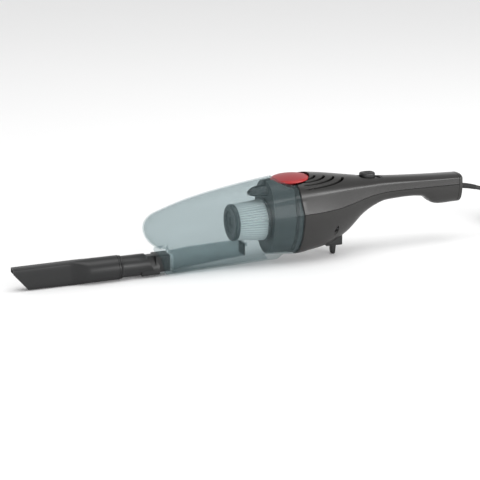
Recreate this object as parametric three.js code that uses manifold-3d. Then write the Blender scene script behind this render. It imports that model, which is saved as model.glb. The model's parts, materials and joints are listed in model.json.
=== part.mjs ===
// Handheld corded vacuum cleaner with a clear dust cup and a crevice nozzle.
// Millimetres, +Z up. X runs along the vacuum: the nozzle points to -X, the handle to +X.
// While it is being built X = 0 is the seam between the dust cup and the housing; the whole
// group is moved at the end so that the origin is under the middle of its length, on the floor.
import * as THREE from 'three';
import { mergeVertices } from 'three/addons/utils/BufferGeometryUtils.js';
import Module from 'manifold-3d';

const wasm = await Module();
wasm.setup();

// ---------------------------------------------------------------- driving sizes
const gap = 0.3; // between pieces that touch
const slack = 0.6; // between pieces that slide

// body seen from the side: cup, motor bay, sweep up to the handle, handle
const cupLength = 226;
const bayLength = 83;
const sweepLength = 65;
const handleLength = 118;
const ringTop = 127.7;
const ringBottom = 8;
const ringHalfWidth = 43;
const handleHalfWidth = 16.5;
const noseHeight = 67; // height of the foremost point of the cup
const noseRound = 24; // length over which the nose rounds off
const cupWall = 2;
const housingWall = 2.4;
const seamLean = 9; // how far the top of the seam leans forward
const upperCreaseShare = 0.9; // upper crease's width over the parting line's

// inlet tube, adapter and nozzle
const tubeAxis = 17; // height of the tube's axis
const socketRadius = 17;
const socketWall = 1.4;
const tubeWall = 2.2;
const tubeLength = 38; // bare tube between nozzle socket and box neck
const socketDepth = 27; // how far the tube enters the nozzle
const nozzleLength = 149;
const bladeThickness = 16;
const bladeHeight = 31.5;
const nozzleSlant = 20; // how far the lower corner of the mouth sits back
const neckLength = 19;
const neckHalfWidth = 13.5;
const neckBottom = 3.4;
const neckTop = 29.5;
const spigotLength = 15;
const keelHalfWidth = 17;
const keelBottom = 2.7;

// duct and flap in the cup
const ductEnd = -80;
const ductHalfWidth = 12;
const ductTop = 35;
const ductEndBottom = 15.5;
const ductWall = 1.5;

// filter and its holder
const filterAxis = 63.5;
const filterPlate = -44; // front face of the holder's plate
const filterLength = 47; // pleats and cap, from the flange to the front
const filterCapRadius = 26.2;
const filterBaseRadius = 30;
const filterCoreRadius = 19;
const pleatCount = 30;
const plateThickness = 2.6;
const collarGap = 1.6; // between the cup and the holder's collar
const collarWall = 2;

// release button
const buttonRadius = 28;
const buttonCentre = -5.6;
const buttonRim = 119; // height of the underside of its rim
const buttonTilt = 0.06; // it rises a little towards the handle
const buttonRimHeight = 2.6;
const buttonCrown = 4.2;
const buttonTravel = 2.5;

// motor
const motorAxis = 66;
const fanFront = 13;
const fanDepth = 19;
const shaftRadius = 3;
const statorRadius = 28;
const statorBore = 17.2;
const statorLength = 27;
const armatureRadius = 16.4;
const commutatorRadius = 10.5;
const commutatorLength = 10;
const bearingRadius = 9.5;
const bearingWidth = 6;

// switch
const switchCentre = 119;
const switchLength = 24;
const switchWidth = 18;
const switchRise = 5.6; // height of the cap above the housing
const switchTravel = 5;
const bezelMargin = 5;

// end of the handle and cord hook
const endCapLength = 6.5;
const reliefLength = 34;
const reliefBaseRadius = 4.6;
const reliefTipRadius = 3.6;
const cordHeight = 84; // height of the cord's exit
const hookFront = 50;
const hookLength = 26;
const hookHalfWidth = 11;
const hookFlat = 15; // height of the flat underside of the hook's block
const prongWidth = 7;

// cord
const cordDiameter = 6.4;
const coilRadius = 40; // at the middle of its turns
const coilColumns = 4;
const coilRows = 5;
const tieThickness = 1;
const tieWidth = 14;
const plugLength = 38;
const plugWidth = 34;
const plugThickness = 17;
const pinLength = 19;
const pinRadius = 2.4;

// ---------------------------------------------------------------- materials
const colour = (name, hex, roughness, metalness = 0, opacity = 1) =>
  new THREE.MeshStandardMaterial({
    name, color: hex, roughness, metalness, opacity, transparent: opacity < 1,
  });
const smokyClear = colour('smoky_clear', 0x9fb0b0, 0.12, 0, 0.4);
const housingGrey = colour('housing_grey', 0x454341, 0.38, 0.1);
const nozzleBlack = colour('nozzle_black', 0x1f2223, 0.42);
const buttonRed = colour('button_red', 0xa8262b, 0.35);
const holderGrey = colour('holder_grey', 0x4a4e50, 0.5);
const capGrey = colour('cap_grey', 0x4a5254, 0.4);
const filterPaper = colour('filter_paper', 0xe8eceb, 0.9);
const softRubber = colour('soft_rubber', 0x1a1a1a, 0.8);
const cordBlack = colour('cord_black', 0x161616, 0.6);
const steel = colour('steel', 0x9a9da0, 0.35, 1);
const laminated = colour('laminated_steel', 0x6f7275, 0.5, 0.9);
const copper = colour('copper', 0xb5703d, 0.35, 0.9);
const brass = colour('brass', 0xc0a25a, 0.3, 1);
const carbon = colour('carbon', 0x2a2a2c, 0.7);
const whitePlastic = colour('white_plastic', 0xd9d9d4, 0.5);

// ---------------------------------------------------------------- solid helpers
const toSolid = (geometry) => {
  const bare = geometry.clone();
  bare.deleteAttribute('normal');
  bare.deleteAttribute('uv');
  const merged = mergeVertices(bare, 1e-4);
  const corners = merged.index.array;
  const faces = [];
  for (let i = 0; i < corners.length; i += 3) {
    const [a, b, c] = [corners[i], corners[i + 1], corners[i + 2]];
    if (a !== b && b !== c && c !== a) faces.push(a, b, c);
  }
  return new wasm.Manifold(new wasm.Mesh({
    numProp: 3,
    vertProperties: new Float32Array(merged.attributes.position.array),
    triVerts: new Uint32Array(faces),
  }));
};

const toGeometry = (solid) => {
  const mesh = solid.getMesh();
  const geometry = new THREE.BufferGeometry();
  geometry.setAttribute('position', new THREE.BufferAttribute(new Float32Array(mesh.vertProperties), 3));
  geometry.setIndex(new THREE.BufferAttribute(new Uint32Array(mesh.triVerts), 1));
  return geometry;
};

const cut = (geometry, ...tools) =>
  toGeometry(tools.reduce((solid, tool) => solid.subtract(toSolid(tool)), toSolid(geometry)));
const join = (geometry, ...more) =>
  toGeometry(more.reduce((solid, tool) => solid.add(toSolid(tool)), toSolid(geometry)));
const keepWithin = (geometry, tool) => toGeometry(toSolid(geometry).intersect(toSolid(tool)));

// a round-edged or square box given by its lowest and highest corners
const block = (x0, x1, y0, y1, z0, z1) =>
  new THREE.BoxGeometry(x1 - x0, y1 - y0, z1 - z0).translate((x0 + x1) / 2, (y0 + y1) / 2, (z0 + z1) / 2);

// a turned piece about a line parallel to X at height axisZ; outline is a list of [x, radius]
const turned = (outline, axisZ, segments = 24) => {
  const points = outline.map(([x, radius]) => new THREE.Vector2(radius, x));
  const geometry = new THREE.LatheGeometry(points, segments);
  geometry.rotateZ(-Math.PI / 2);
  geometry.rotateX(Math.PI / segments);
  geometry.translate(0, 0, axisZ);
  return outward(geometry);
};

// a turned ring or disc with a square section
const ring = (x0, x1, inner, outer, axisZ, segments = 24) =>
  turned(inner > 0
    ? [[x0, inner], [x0, outer], [x1, outer], [x1, inner], [x0, inner]]
    : [[x0, 0], [x0, outer], [x1, outer], [x1, 0]], axisZ, segments);

// a vertical round post
const post = (x, y, z0, z1, radius, segments = 20) =>
  new THREE.CylinderGeometry(radius, radius, z1 - z0, segments)
    .rotateX(Math.PI / 2).translate(x, y, (z0 + z1) / 2);

// a side view outline, a list of [x, z], given thickness across Y
const sidePlate = (outline, halfWidth, bevel = 0) => {
  const shape = new THREE.Shape(outline.map(([x, z]) => new THREE.Vector2(x, z)));
  const geometry = new THREE.ExtrudeGeometry(shape, {
    depth: 2 * (halfWidth - bevel), bevelEnabled: bevel > 0, bevelSize: bevel, bevelThickness: bevel,
    bevelOffset: -bevel, bevelSegments: 2,
  });
  geometry.translate(0, 0, bevel - halfWidth);
  geometry.rotateX(Math.PI / 2);
  return geometry;
};

const signedVolume = (geometry) => {
  const flat = geometry.index ? geometry.toNonIndexed() : geometry;
  const place = flat.attributes.position;
  const corner = (i) => new THREE.Vector3().fromBufferAttribute(place, i);
  let total = 0;
  for (let i = 0; i < place.count; i += 3) {
    total += corner(i).dot(corner(i + 1).cross(corner(i + 2)));
  }
  return total;
};

// turns every face the other way round when the solid is inside out
const outward = (geometry) => {
  if (signedVolume(geometry) >= 0) return geometry;
  const index = geometry.index
    ? Array.from(geometry.index.array)
    : [...Array(geometry.attributes.position.count).keys()];
  for (let i = 0; i < index.length; i += 3) [index[i], index[i + 1]] = [index[i + 1], index[i]];
  geometry.setIndex(index);
  return geometry;
};

// skin over a row of closed loops of points, with flat ends
const loft = (loops) => {
  const count = loops[0].length;
  const points = loops.flat();
  const faces = [];
  for (let i = 0; i + 1 < loops.length; i += 1) {
    for (let j = 0; j < count; j += 1) {
      const [a, b] = [i * count + j, i * count + ((j + 1) % count)];
      faces.push(a, b, b + count, a, b + count, a + count);
    }
  }
  for (const [loop, turn] of [[loops[0], -1], [loops[loops.length - 1], 1]]) {
    const start = points.length;
    const middle = loop.reduce((sum, point) => sum.add(point), new THREE.Vector3());
    points.push(...loop, middle.divideScalar(count));
    for (let j = 0; j < count; j += 1) {
      const [a, b] = [start + j, start + ((j + 1) % count)];
      faces.push(...(turn > 0 ? [a, b, start + count] : [b, a, start + count]));
    }
  }
  return outward(fromPoints(points, faces));
};

// skin over a row of outer loops and a row of inner loops: an open-ended pipe of any section
const pipeLoft = (outer, inner) => {
  const rounds = [...outer, ...[...inner].reverse(), outer[0]];
  const count = outer[0].length;
  const points = rounds.flat();
  const faces = [];
  for (let i = 0; i + 1 < rounds.length; i += 1) {
    for (let j = 0; j < count; j += 1) {
      const [a, b] = [i * count + j, i * count + ((j + 1) % count)];
      faces.push(a, b, b + count, a, b + count, a + count);
    }
  }
  return outward(fromPoints(points, faces));
};

const fromPoints = (points, faces) => {
  const geometry = new THREE.BufferGeometry().setFromPoints(points);
  geometry.setIndex(faces);
  return mergeVertices(geometry, 1e-5);
};

// closed loop in a plane across X from a list of [y, z]
const loopAt = (x, section) => section.map(([y, z]) => new THREE.Vector3(x, y, z));

// rounded box section between two heights
const boxSection = (halfWidth, bottom, top, corner, steps = 3) => {
  const section = [];
  const corners = [[1, 1, 0], [-1, 1, 90], [-1, -1, 180], [1, -1, 270]];
  const middle = (bottom + top) / 2;
  const halfHeight = (top - bottom) / 2;
  for (const [sideY, sideZ, from] of corners) {
    for (let i = 0; i <= steps; i += 1) {
      const angle = THREE.MathUtils.degToRad(from + (90 * i) / steps);
      section.push([
        sideY * (halfWidth - corner) + corner * Math.cos(angle),
        middle + sideZ * (halfHeight - corner) + corner * Math.sin(angle),
      ]);
    }
  }
  return section;
};

// a smooth line through [x, value] points
const through = (points) => (x) => {
  const last = points.length - 1;
  if (x <= points[0][0]) return points[0][1];
  if (x >= points[last][0]) return points[last][1];
  const i = points.findIndex((point) => point[0] > x) - 1;
  const slope = (k) => {
    const [a, b] = [points[Math.max(k - 1, 0)], points[Math.min(k + 1, last)]];
    return (b[1] - a[1]) / (b[0] - a[0]);
  };
  const span = points[i + 1][0] - points[i][0];
  const t = (x - points[i][0]) / span;
  const [t2, t3] = [t * t, t * t * t];
  return (2 * t3 - 3 * t2 + 1) * points[i][1] + (t3 - 2 * t2 + t) * span * slope(i)
    + (3 * t2 - 2 * t3) * points[i + 1][1] + (t3 - t2) * span * slope(i + 1);
};

// ---------------------------------------------------------------- body outline
const handleStart = bayLength + sweepLength;
const housingLength = handleStart + handleLength;
const onCup = (share) => -share * cupLength;
const onSweep = (share) => bayLength + share * sweepLength;
const onHandle = (share) => handleStart + share * handleLength;

const topLine = through([
  [onCup(1), 86.5], [onCup(0.91), 89.5], [onCup(0.81), 97], [onCup(0.68), 105.5], [onCup(0.42), 117],
  [onCup(0.15), ringTop - 2], [0, ringTop], [0.45 * bayLength, ringTop - 2.9], [bayLength, 118],
  [onSweep(0.4), 114], [onSweep(1), 110.3], [onHandle(0.5), 106.8], [onHandle(1), 104.5],
]);
const bottomLine = through([
  [onCup(1), 42], [onCup(0.91), 37.5], [onCup(0.81), 29.5], [onCup(0.67), 18.5], [onCup(0.44), 13.5],
  [0, ringBottom], [0.3 * bayLength, 11], [0.62 * bayLength, 16.5], [bayLength, 32],
  [onSweep(0.4), 57.5], [onSweep(0.75), 71], [onSweep(1), 75.3], [onHandle(0.5), 75],
  [onHandle(0.66), 63], [onHandle(0.76), 60.5], [onHandle(1), 61],
]);
const widthLine = through([
  [onCup(1), 28], [onCup(0.91), 29.5], [onCup(0.81), 32.5], [onCup(0.66), 36], [onCup(0.44), 39.8],
  [onCup(0.2), 42.3], [0, ringHalfWidth], [0.3 * bayLength, 0.985 * ringHalfWidth], [0.6 * bayLength, 39],
  [bayLength, 31], [onSweep(0.4), 24.5], [onSweep(1), 18], [onHandle(0.35), handleHalfWidth],
  [onHandle(1), handleHalfWidth],
]);
const partingLine = through([
  [onCup(1), 69], [onCup(0.66), 72.5], [0, 75.2], [0.7 * bayLength, 77.8], [bayLength, 81.5],
  [onSweep(0.5), 87.4], [onSweep(1), 89.8], [onHandle(1), 89.8],
]);
const creaseLine = through([
  [onCup(1), 72], [onCup(0.9), 73.5], [onCup(0.72), 79], [onCup(0.44), 85.5], [onCup(0.2), 90],
  [0, 94.3], [0.5 * bayLength, 97.8], [bayLength, 99], [onSweep(1), 98.8], [onHandle(1), 97.8],
]);

// the nose rounds off as a quarter ellipse
const noseShare = (x) => {
  const u = (x + cupLength) / noseRound;
  return u >= 1 ? 1 : Math.sqrt(Math.max(0, 1 - (1 - u) ** 2));
};

const corner = (base, share) => Math.sign(base) * Math.abs(base) ** share;

// one section of the body, as [y, z] points round from the top; the round arcs have archSteps steps
const archSteps = 5;
const bodySection = (x, inset = 0) => {
  const share = noseShare(x);
  const fromNose = (value) => noseHeight + (value - noseHeight) * share;
  const [top, bottom] = [fromNose(topLine(x)), fromNose(bottomLine(x))];
  const [crease, parting] = [fromNose(creaseLine(x)), fromNose(partingLine(x))];
  const halfWidth = widthLine(x) * share;
  const towardHandle = THREE.MathUtils.smoothstep(x, bayLength, handleStart);
  const upperPower = 1 - 0.14 * towardHandle;
  const lowerPower = 1 - 0.3 * towardHandle;
  const creaseWidth = halfWidth * (upperCreaseShare + 0.04 * towardHandle);
  const half = [];
  for (let i = 0; i <= archSteps; i += 1) {
    const angle = (i / archSteps) * Math.PI / 2;
    half.push([
      creaseWidth * corner(Math.sin(angle), upperPower),
      crease + (top - crease) * corner(Math.cos(angle), upperPower),
    ]);
  }
  for (let i = 0; i <= archSteps; i += 1) {
    const angle = (i / archSteps) * Math.PI / 2;
    half.push([
      halfWidth * corner(Math.cos(angle), lowerPower),
      parting - (parting - bottom) * corner(Math.sin(angle), lowerPower),
    ]);
  }
  half[0][0] = 0;
  half[half.length - 1][0] = 0;
  const mirrored = half.slice(1, -1).reverse().map(([y, z]) => [-y, z]);
  return insetSection([...half, ...mirrored], inset);
};

// moves every point of a closed section inwards by the same wall
const insetSection = (section, wall) => {
  if (wall === 0) return section;
  const count = section.length;
  return section.map(([y, z], i) => {
    const [py, pz] = section[(i + count - 1) % count];
    const [ny, nz] = section[(i + 1) % count];
    const before = new THREE.Vector2(y - py, z - pz).normalize();
    const after = new THREE.Vector2(ny - y, nz - z).normalize();
    const normal = new THREE.Vector2(before.y + after.y, -before.x - after.x).normalize();
    const reach = wall / Math.max(0.5, normal.dot(new THREE.Vector2(before.y, -before.x)));
    return [y + normal.x * reach, z + normal.y * reach];
  });
};

const stationsBetween = (from, to, count) =>
  [...Array(count + 1).keys()].map((i) => from + ((to - from) * i) / count);

const noseStations = [0.004, 0.04, 0.14, 0.32, 0.6, 1].map((share) => -cupLength + share * noseRound);
const cupStations = [...noseStations, ...stationsBetween(-cupLength + noseRound, 0, 7).slice(1)];
const housingStations = [
  ...stationsBetween(0, bayLength, 4), ...stationsBetween(bayLength, handleStart, 5).slice(1),
  onHandle(0.25), onHandle(0.48), onHandle(0.58), onHandle(0.67), onHandle(0.77), onHandle(1),
];

// the solid outer form of the cup's pod, and its hollow, which keeps the wall all round
const podForm = (wall = 0) => {
  const stations = wall === 0 ? [...cupStations, 4] : [...cupStations, 12];
  const middle = (ringTop + ringBottom) / 2;
  const scaleX = 1 - wall / cupLength;
  const scaleY = 1 - wall / ringHalfWidth;
  const scaleZ = 1 - (2 * wall) / (ringTop - ringBottom);
  return loft(stations.map((x) => loopAt(
    x > 0 ? x : x * scaleX,
    bodySection(Math.min(x, 0)).map(([y, z]) => [y * scaleY, middle + (z - middle) * scaleZ]),
  )));
};

const housingForm = (inset, from, to) => {
  const stations = housingStations.filter((x) => x > from + 1 && x < to - 1);
  return loft([from, ...stations, to].map((x) =>
    loopAt(x, bodySection(THREE.MathUtils.clamp(x, 0, housingLength), inset))));
};

// side view of the seam between cup and housing: upright below, leaning forward above the parting line
const seamAt = (z) => -seamLean * Math.min(1, Math.max(0, (z - 74) / 58));
const seamHeights = [-20, 74, 132, 150];
const aheadOfSeam = (shift, reach) => sidePlate(
  [...seamHeights.map((z) => [seamAt(z) + shift, z]), [-reach, 150], [-reach, -20]], 80,
);
const behindSeam = (shift, reach) => sidePlate(
  [...seamHeights.map((z) => [seamAt(z) + shift, z]), [reach, 150], [reach, -20]], 80,
);

// everything above the parting line between the two housing shells
const aboveParting = (shift) => {
  const stations = [-30, 0, ...housingStations.slice(1), housingLength + 40];
  return sidePlate([
    ...stations.map((x) => [x, partingLine(x) + shift]),
    [housingLength + 40, 200], [-30, 200],
  ], 80);
};

// ---------------------------------------------------------------- dust cup and inlet
const mouthFront = onCup(0.915); // where the neck meets the cup
const mouthSlant = 8; // the lower lip of the mouth sits this far back
const ductStart = mouthFront + spigotLength + 5;
const spigotHalfWidth = neckHalfWidth - 1.2;
const spigotBottom = keelBottom + 3.2;
const spigotTop = neckTop + 0.5;
const spigotSection = (extra) =>
  boxSection(spigotHalfWidth + extra, spigotBottom - extra, spigotTop + extra, 2.5 + extra);

const dustCup = () => {
  const keel = sidePlate([
    [mouthFront, spigotTop + 5], [mouthFront, spigotTop + 1.5], [mouthFront + mouthSlant, keelBottom],
    [-30, ringBottom - 1.2], [-20, ringBottom + 6], [onCup(0.5), 24], [onCup(0.8), 38],
  ], keelHalfWidth, 1.5);
  const trough = sidePlate([
    [ductStart - 2, spigotTop + 3], [ductStart - 2, keelBottom + cupWall], [-45, ringBottom + 0.6],
    [-60, 30], [onCup(0.6), 34], [onCup(0.8), 42],
  ], keelHalfWidth - cupWall);
  const mouth = loft([mouthFront - 20, ductStart].map((x) => loopAt(x, spigotSection(slack / 2))));
  const notch = post(buttonCentre, 0, 60, 150, buttonRadius + slack, 28);
  const notchWay = block(buttonCentre, 20, -buttonRadius - slack, buttonRadius + slack, 100, 150);
  return cut(
    keepWithin(join(podForm(), keel), aheadOfSeam(-gap / 2, 300)),
    podForm(cupWall), trough, mouth, keepWithin(notch, block(-60, 30, -40, 40, 95, 150)), notchWay,
  );
};

const flapThickness = 1.2;
const flapPinRadius = 1.1;
const earInside = ductHalfWidth - 0.6; // inner face of the ears that hold the flap's pin

const inletDuct = () => {
  const start = ductStart + gap;
  const outer = [
    loopAt(start, boxSection(ductHalfWidth, spigotBottom, spigotTop, 2.5)),
    loopAt(onCup(0.7), boxSection(ductHalfWidth, spigotBottom + 3, ductTop - 2, 2.5)),
    loopAt(ductEnd, boxSection(ductHalfWidth, ductEndBottom, ductTop, 2.5)),
  ];
  const inner = [
    loopAt(start, boxSection(ductHalfWidth - ductWall, spigotBottom + ductWall, spigotTop - ductWall, 1)),
    loopAt(onCup(0.7), boxSection(ductHalfWidth - ductWall, spigotBottom + 3 + ductWall,
      ductTop - 2 - ductWall, 1)),
    loopAt(ductEnd, boxSection(ductHalfWidth - ductWall, ductEndBottom + ductWall, ductTop - ductWall, 1)),
  ];
  const ears = [-1, 1].map((side) => outward(block(
    ductEnd - 5, ductEnd + 3.8, earInside, ductHalfWidth + 1.6, ductTop - 5, ductTop,
  ).scale(1, side, 1)));
  return join(pipeLoft(outer, inner), ...ears);
};

const flapPinX = ductEnd + gap + flapPinRadius + 0.4;
const flapPinZ = ductTop - flapPinRadius - 0.2;

const inletFlap = () => sidePlate([
  [ductEnd + gap, ductEndBottom + 0.5], [ductEnd + gap + flapThickness, ductEndBottom + 0.5],
  [ductEnd + gap + flapThickness, flapPinZ - flapPinRadius - gap],
  [ductEnd + gap, flapPinZ - flapPinRadius - gap],
], earInside - gap);

const flapPin = () => new THREE.CylinderGeometry(flapPinRadius, flapPinRadius, 2 * (earInside - gap), 10)
  .translate(flapPinX, 0, flapPinZ);

// ---------------------------------------------------------------- filter and its holder
const collarInset = cupWall + collarGap;
const collarRear = 8;

// round hole that the button sits in
const buttonWell = () => post(buttonCentre, 0, buttonRim - 17, 160, buttonRadius + slack, 28);

const bulkhead = () => {
  const outer = loft([
    loopAt(filterPlate, bodySection(filterPlate, collarInset)),
    loopAt(filterPlate / 2, bodySection(filterPlate / 2, collarInset)),
    loopAt(0, bodySection(0, collarInset)),
    loopAt(collarRear, bodySection(0, collarInset)),
  ]);
  const hollow = loft([
    loopAt(filterPlate + plateThickness, bodySection(filterPlate, collarInset + collarWall)),
    loopAt(0, bodySection(0, collarInset + collarWall)),
    loopAt(collarRear + 5, bodySection(0, collarInset + collarWall)),
  ]);
  const airHole = ring(filterPlate - 20, filterPlate + 10, 0, filterCoreRadius + 1.2, filterAxis);
  const beak = sidePlate([
    [filterPlate - 26, 103], [filterPlate - 22, 109], [filterPlate + 2, 112.5], [filterPlate + 2, 97],
    [filterPlate - 18, 99],
  ], 12, 1.5);
  const shelfTop = buttonRim - 17;
  const shelf = block(filterPlate, collarRear, -ringHalfWidth, ringHalfWidth, shelfTop - 2.5, shelfTop);
  const within = loft([filterPlate, 0, collarRear].map((x) =>
    loopAt(x, bodySection(Math.min(x, 0), collarInset))));
  const latchWay = block(filterPlate - 30, filterPlate + 14, -4.4, 4.4, buttonRim - 16.4, 130);
  return cut(join(cut(outer, hollow), beak, keepWithin(shelf, within)), airHole, buttonWell(), latchWay);
};

const cupSeal = () => {
  const [from, to] = [-11, -6];
  const band = pipeLoft(
    [from, to].map((x) => loopAt(x, bodySection(x, cupWall + slack + 0.1))),
    [from, to].map((x) => loopAt(x, bodySection(x, collarInset - gap))),
  );
  return cut(band, buttonWell());
};

const flangeFront = filterPlate - 2 - 2.6;
const filterFrame = () => {
  const coreFront = filterPlate - filterLength + 2;
  const bore = filterCoreRadius - 1.8;
  const body = turned([
    [filterPlate + 7, bore], [filterPlate + 7, filterCoreRadius], [filterPlate - 2, filterCoreRadius],
    [filterPlate - 2, filterBaseRadius + 1], [flangeFront, filterBaseRadius + 1],
    [flangeFront, filterCoreRadius], [coreFront, filterCoreRadius], [coreFront, bore],
    [filterPlate + 7, bore],
  ], filterAxis, 20);
  const windows = [0, 60, 120].map((angle) => {
    const bar = new THREE.BoxGeometry(24, 80, 9).translate((coreFront + flangeFront) / 2, 0, 0);
    return bar.rotateX(THREE.MathUtils.degToRad(angle)).translate(0, 0, filterAxis);
  });
  return cut(body, ...windows);
};

const filterSeal = () =>
  ring(filterPlate - 2 + gap, filterPlate - gap, filterCoreRadius + 2.5, filterBaseRadius, filterAxis, 20);

const capDepth = 6.5;
const pleatFront = filterPlate - filterLength;
const filterPleats = () => {
  const star = (x, tip) => [...Array(2 * pleatCount).keys()].map((i) => {
    const radius = i % 2 === 0 ? tip : tip - 4.2;
    const angle = (i / pleatCount) * Math.PI;
    return new THREE.Vector3(x, radius * Math.sin(angle), filterAxis + radius * Math.cos(angle));
  });
  const hole = (x) => [...Array(2 * pleatCount).keys()].map((i) => {
    const angle = (i / pleatCount) * Math.PI;
    const radius = filterCoreRadius + gap;
    return new THREE.Vector3(x, radius * Math.sin(angle), filterAxis + radius * Math.cos(angle));
  });
  const [from, to] = [pleatFront + gap, flangeFront - gap];
  return pipeLoft(
    [star(from, filterCapRadius - 0.4), star(to, filterBaseRadius - 0.3)], [hole(from), hole(to)],
  );
};

const filterFrontCap = () => turned([
  [pleatFront - capDepth + 3, 0], [pleatFront - capDepth + 3, 0.6 * filterCapRadius],
  [pleatFront - capDepth, 0.68 * filterCapRadius], [pleatFront - capDepth, filterCapRadius - 1],
  [pleatFront - capDepth + 1, filterCapRadius], [pleatFront, filterCapRadius], [pleatFront, 0],
], filterAxis, 24);

// ---------------------------------------------------------------- release button and latch
const tiltFromCentre = (geometry) => {
  geometry.rotateY(-Math.atan(buttonTilt));
  return geometry.translate(buttonCentre, 0, buttonRim);
};

const releaseButton = () => {
  const outline = [[0, -9], [9, -9], [9, 0], [buttonRadius - 0.6, 0], [buttonRadius, 0.6]];
  outline.push([buttonRadius, buttonRimHeight - 0.8], [buttonRadius - 0.8, buttonRimHeight]);
  for (let i = 3; i >= 0; i -= 1) {
    const radius = ((buttonRadius - 1.6) * i) / 3.4;
    outline.push([radius, buttonRimHeight + buttonCrown * (1 - (radius / buttonRadius) ** 2)]);
  }
  const disc = new THREE.LatheGeometry(outline.map(([r, z]) => new THREE.Vector2(r, z)), 24);
  return tiltFromCentre(outward(disc.rotateX(Math.PI / 2)));
};

const latchFront = filterPlate - 20;
const releaseLatch = () => {
  const arm = [
    [latchFront, 105.5], [buttonCentre - 9 - gap, 105.5], [buttonCentre - 9 - gap, 108],
    [latchFront + 9, 108], [latchFront + 5, 110.5], [latchFront, 109],
  ];
  return sidePlate(arm, 3.6);
};

const springTurnRadius = 5;
const buttonSpring = () => ringUp(buttonCentre, buttonRim - 17 + gap, buttonRim - 9.6 - gap,
  springTurnRadius - 1, springTurnRadius, 20);

// an upright ring
function ringUp(x, z0, z1, inner, outer, segments, y = 0) {
  const points = [[inner, z0], [outer, z0], [outer, z1], [inner, z1], [inner, z0]];
  const geometry = new THREE.LatheGeometry(points.map(([r, z]) => new THREE.Vector2(r, z)), segments);
  return outward(geometry.rotateX(Math.PI / 2).translate(x, y, 0));
}

// ---------------------------------------------------------------- adapter and nozzle
const neckFront = mouthFront - neckLength;
const socketRim = neckFront - tubeLength;
const tubeRadius = socketRadius - socketWall - 0.35;
const tubeEnd = socketRim - socketDepth;
const grooveAt = tubeEnd + 6;
const grooveDepth = 1.3;

const nozzleAdapter = () => {
  const bore = tubeRadius - tubeWall;
  const tube = turned([
    [tubeEnd, 0], [tubeEnd, tubeRadius], [grooveAt, tubeRadius], [grooveAt, tubeRadius - grooveDepth],
    [grooveAt + 3, tubeRadius - grooveDepth], [grooveAt + 3, tubeRadius], [socketRim + 0.6, tubeRadius],
    [socketRim + 0.6, tubeRadius + 0.9], [socketRim + 3, tubeRadius + 0.9], [socketRim + 3.6, tubeRadius],
    [neckFront + 9, tubeRadius], [neckFront + 9, 0],
  ], tubeAxis, 24);
  const slantedEnd = sidePlate([
    [neckFront - 4, 40], [neckFront + 9.5, 10], [neckFront + 9.5, -10], [neckFront + 20, -10],
    [neckFront + 20, 40],
  ], 30);
  const roof = [
    [neckHalfWidth, neckBottom], [neckHalfWidth, neckBottom + 11], [6, neckTop], [-6, neckTop],
    [-neckHalfWidth, neckBottom + 11], [-neckHalfWidth, neckBottom],
  ];
  const neck = loft([neckFront - 8, mouthFront - gap].map((x) => loopAt(x, roof)));
  const neckEnd = sidePlate([
    [mouthFront - gap, 60], [mouthFront - gap, spigotTop + 1.5], [mouthFront - gap + mouthSlant, keelBottom],
    [mouthFront + 60, keelBottom], [mouthFront + 60, 60],
  ], 30);
  const spigot = loft([mouthFront - 6, mouthFront + spigotLength].map((x) => loopAt(x, spigotSection(0))));
  const passage = loft([neckFront - 6, mouthFront + spigotLength + 5].map((x) =>
    loopAt(x, boxSection(neckHalfWidth - 5, neckBottom + 5, neckTop - 6, 2))));
  const tongue = block(mouthFront - 12, mouthFront - 2, -5, 5, 1.2, neckBottom + 1);
  return cut(
    join(cut(tube, slantedEnd), cut(neck, neckEnd), spigot, tongue),
    ring(tubeEnd - 5, neckFront - 2, 0, bore, tubeAxis), passage,
  );
};

const adapterSeal = () =>
  ring(grooveAt + gap, grooveAt + 3 - gap, tubeRadius - grooveDepth + gap, tubeRadius + 0.1, tubeAxis, 24);

const creviceNozzle = () => {
  const tip = socketRim - nozzleLength;
  // the round socket narrows to a flat blade
  const sectionOf = (halfWidth, halfHeight, power) => [...Array(24).keys()].map((i) => {
    const angle = ((i + 0.5) / 24) * 2 * Math.PI;
    return [
      halfWidth * corner(Math.cos(angle), power), tubeAxis + halfHeight * corner(Math.sin(angle), power),
    ];
  });
  const formOf = (wall, from, to, boreRadius) => {
    const places = [from, socketRim - 42, socketRim - 50, socketRim - 57, socketRim - 64, socketRim - 72, to];
    return loft(places.map((x) => {
      const share = THREE.MathUtils.smoothstep(x, socketRim - 72, socketRim - 42);
      const slope = THREE.MathUtils.clamp((socketRim - x) / nozzleLength, 0, 1);
      const blade = bladeHeight / 2 + 1.6 * (1 - slope) - wall;
      return loopAt(x, sectionOf(
        THREE.MathUtils.lerp(bladeThickness / 2 - wall, boreRadius, share),
        THREE.MathUtils.lerp(blade, boreRadius, share),
        THREE.MathUtils.lerp(0.35, 1, share),
      ));
    }));
  };
  const outer = formOf(0, socketRim, tip, socketRadius);
  const hollow = formOf(socketWall, socketRim - 25, tip - 5, socketRadius - socketWall - 2);
  const socket = ring(socketRim - socketDepth - 1, socketRim + 5, 0, socketRadius - socketWall, tubeAxis);
  const mouthCut = sidePlate([
    [tip - 10, -20], [tip + nozzleSlant + 4, -20], [tip + nozzleSlant, tubeAxis - bladeHeight / 2],
    [tip, tubeAxis + bladeHeight / 2 - 7.5], [tip - 10, tubeAxis + bladeHeight / 2 - 7.5],
  ], 40);
  return cut(outer, hollow, socket, mouthCut);
};

// ---------------------------------------------------------------- housing shells
const ventCount = 4;
const ventWidth = 2.2;

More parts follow.
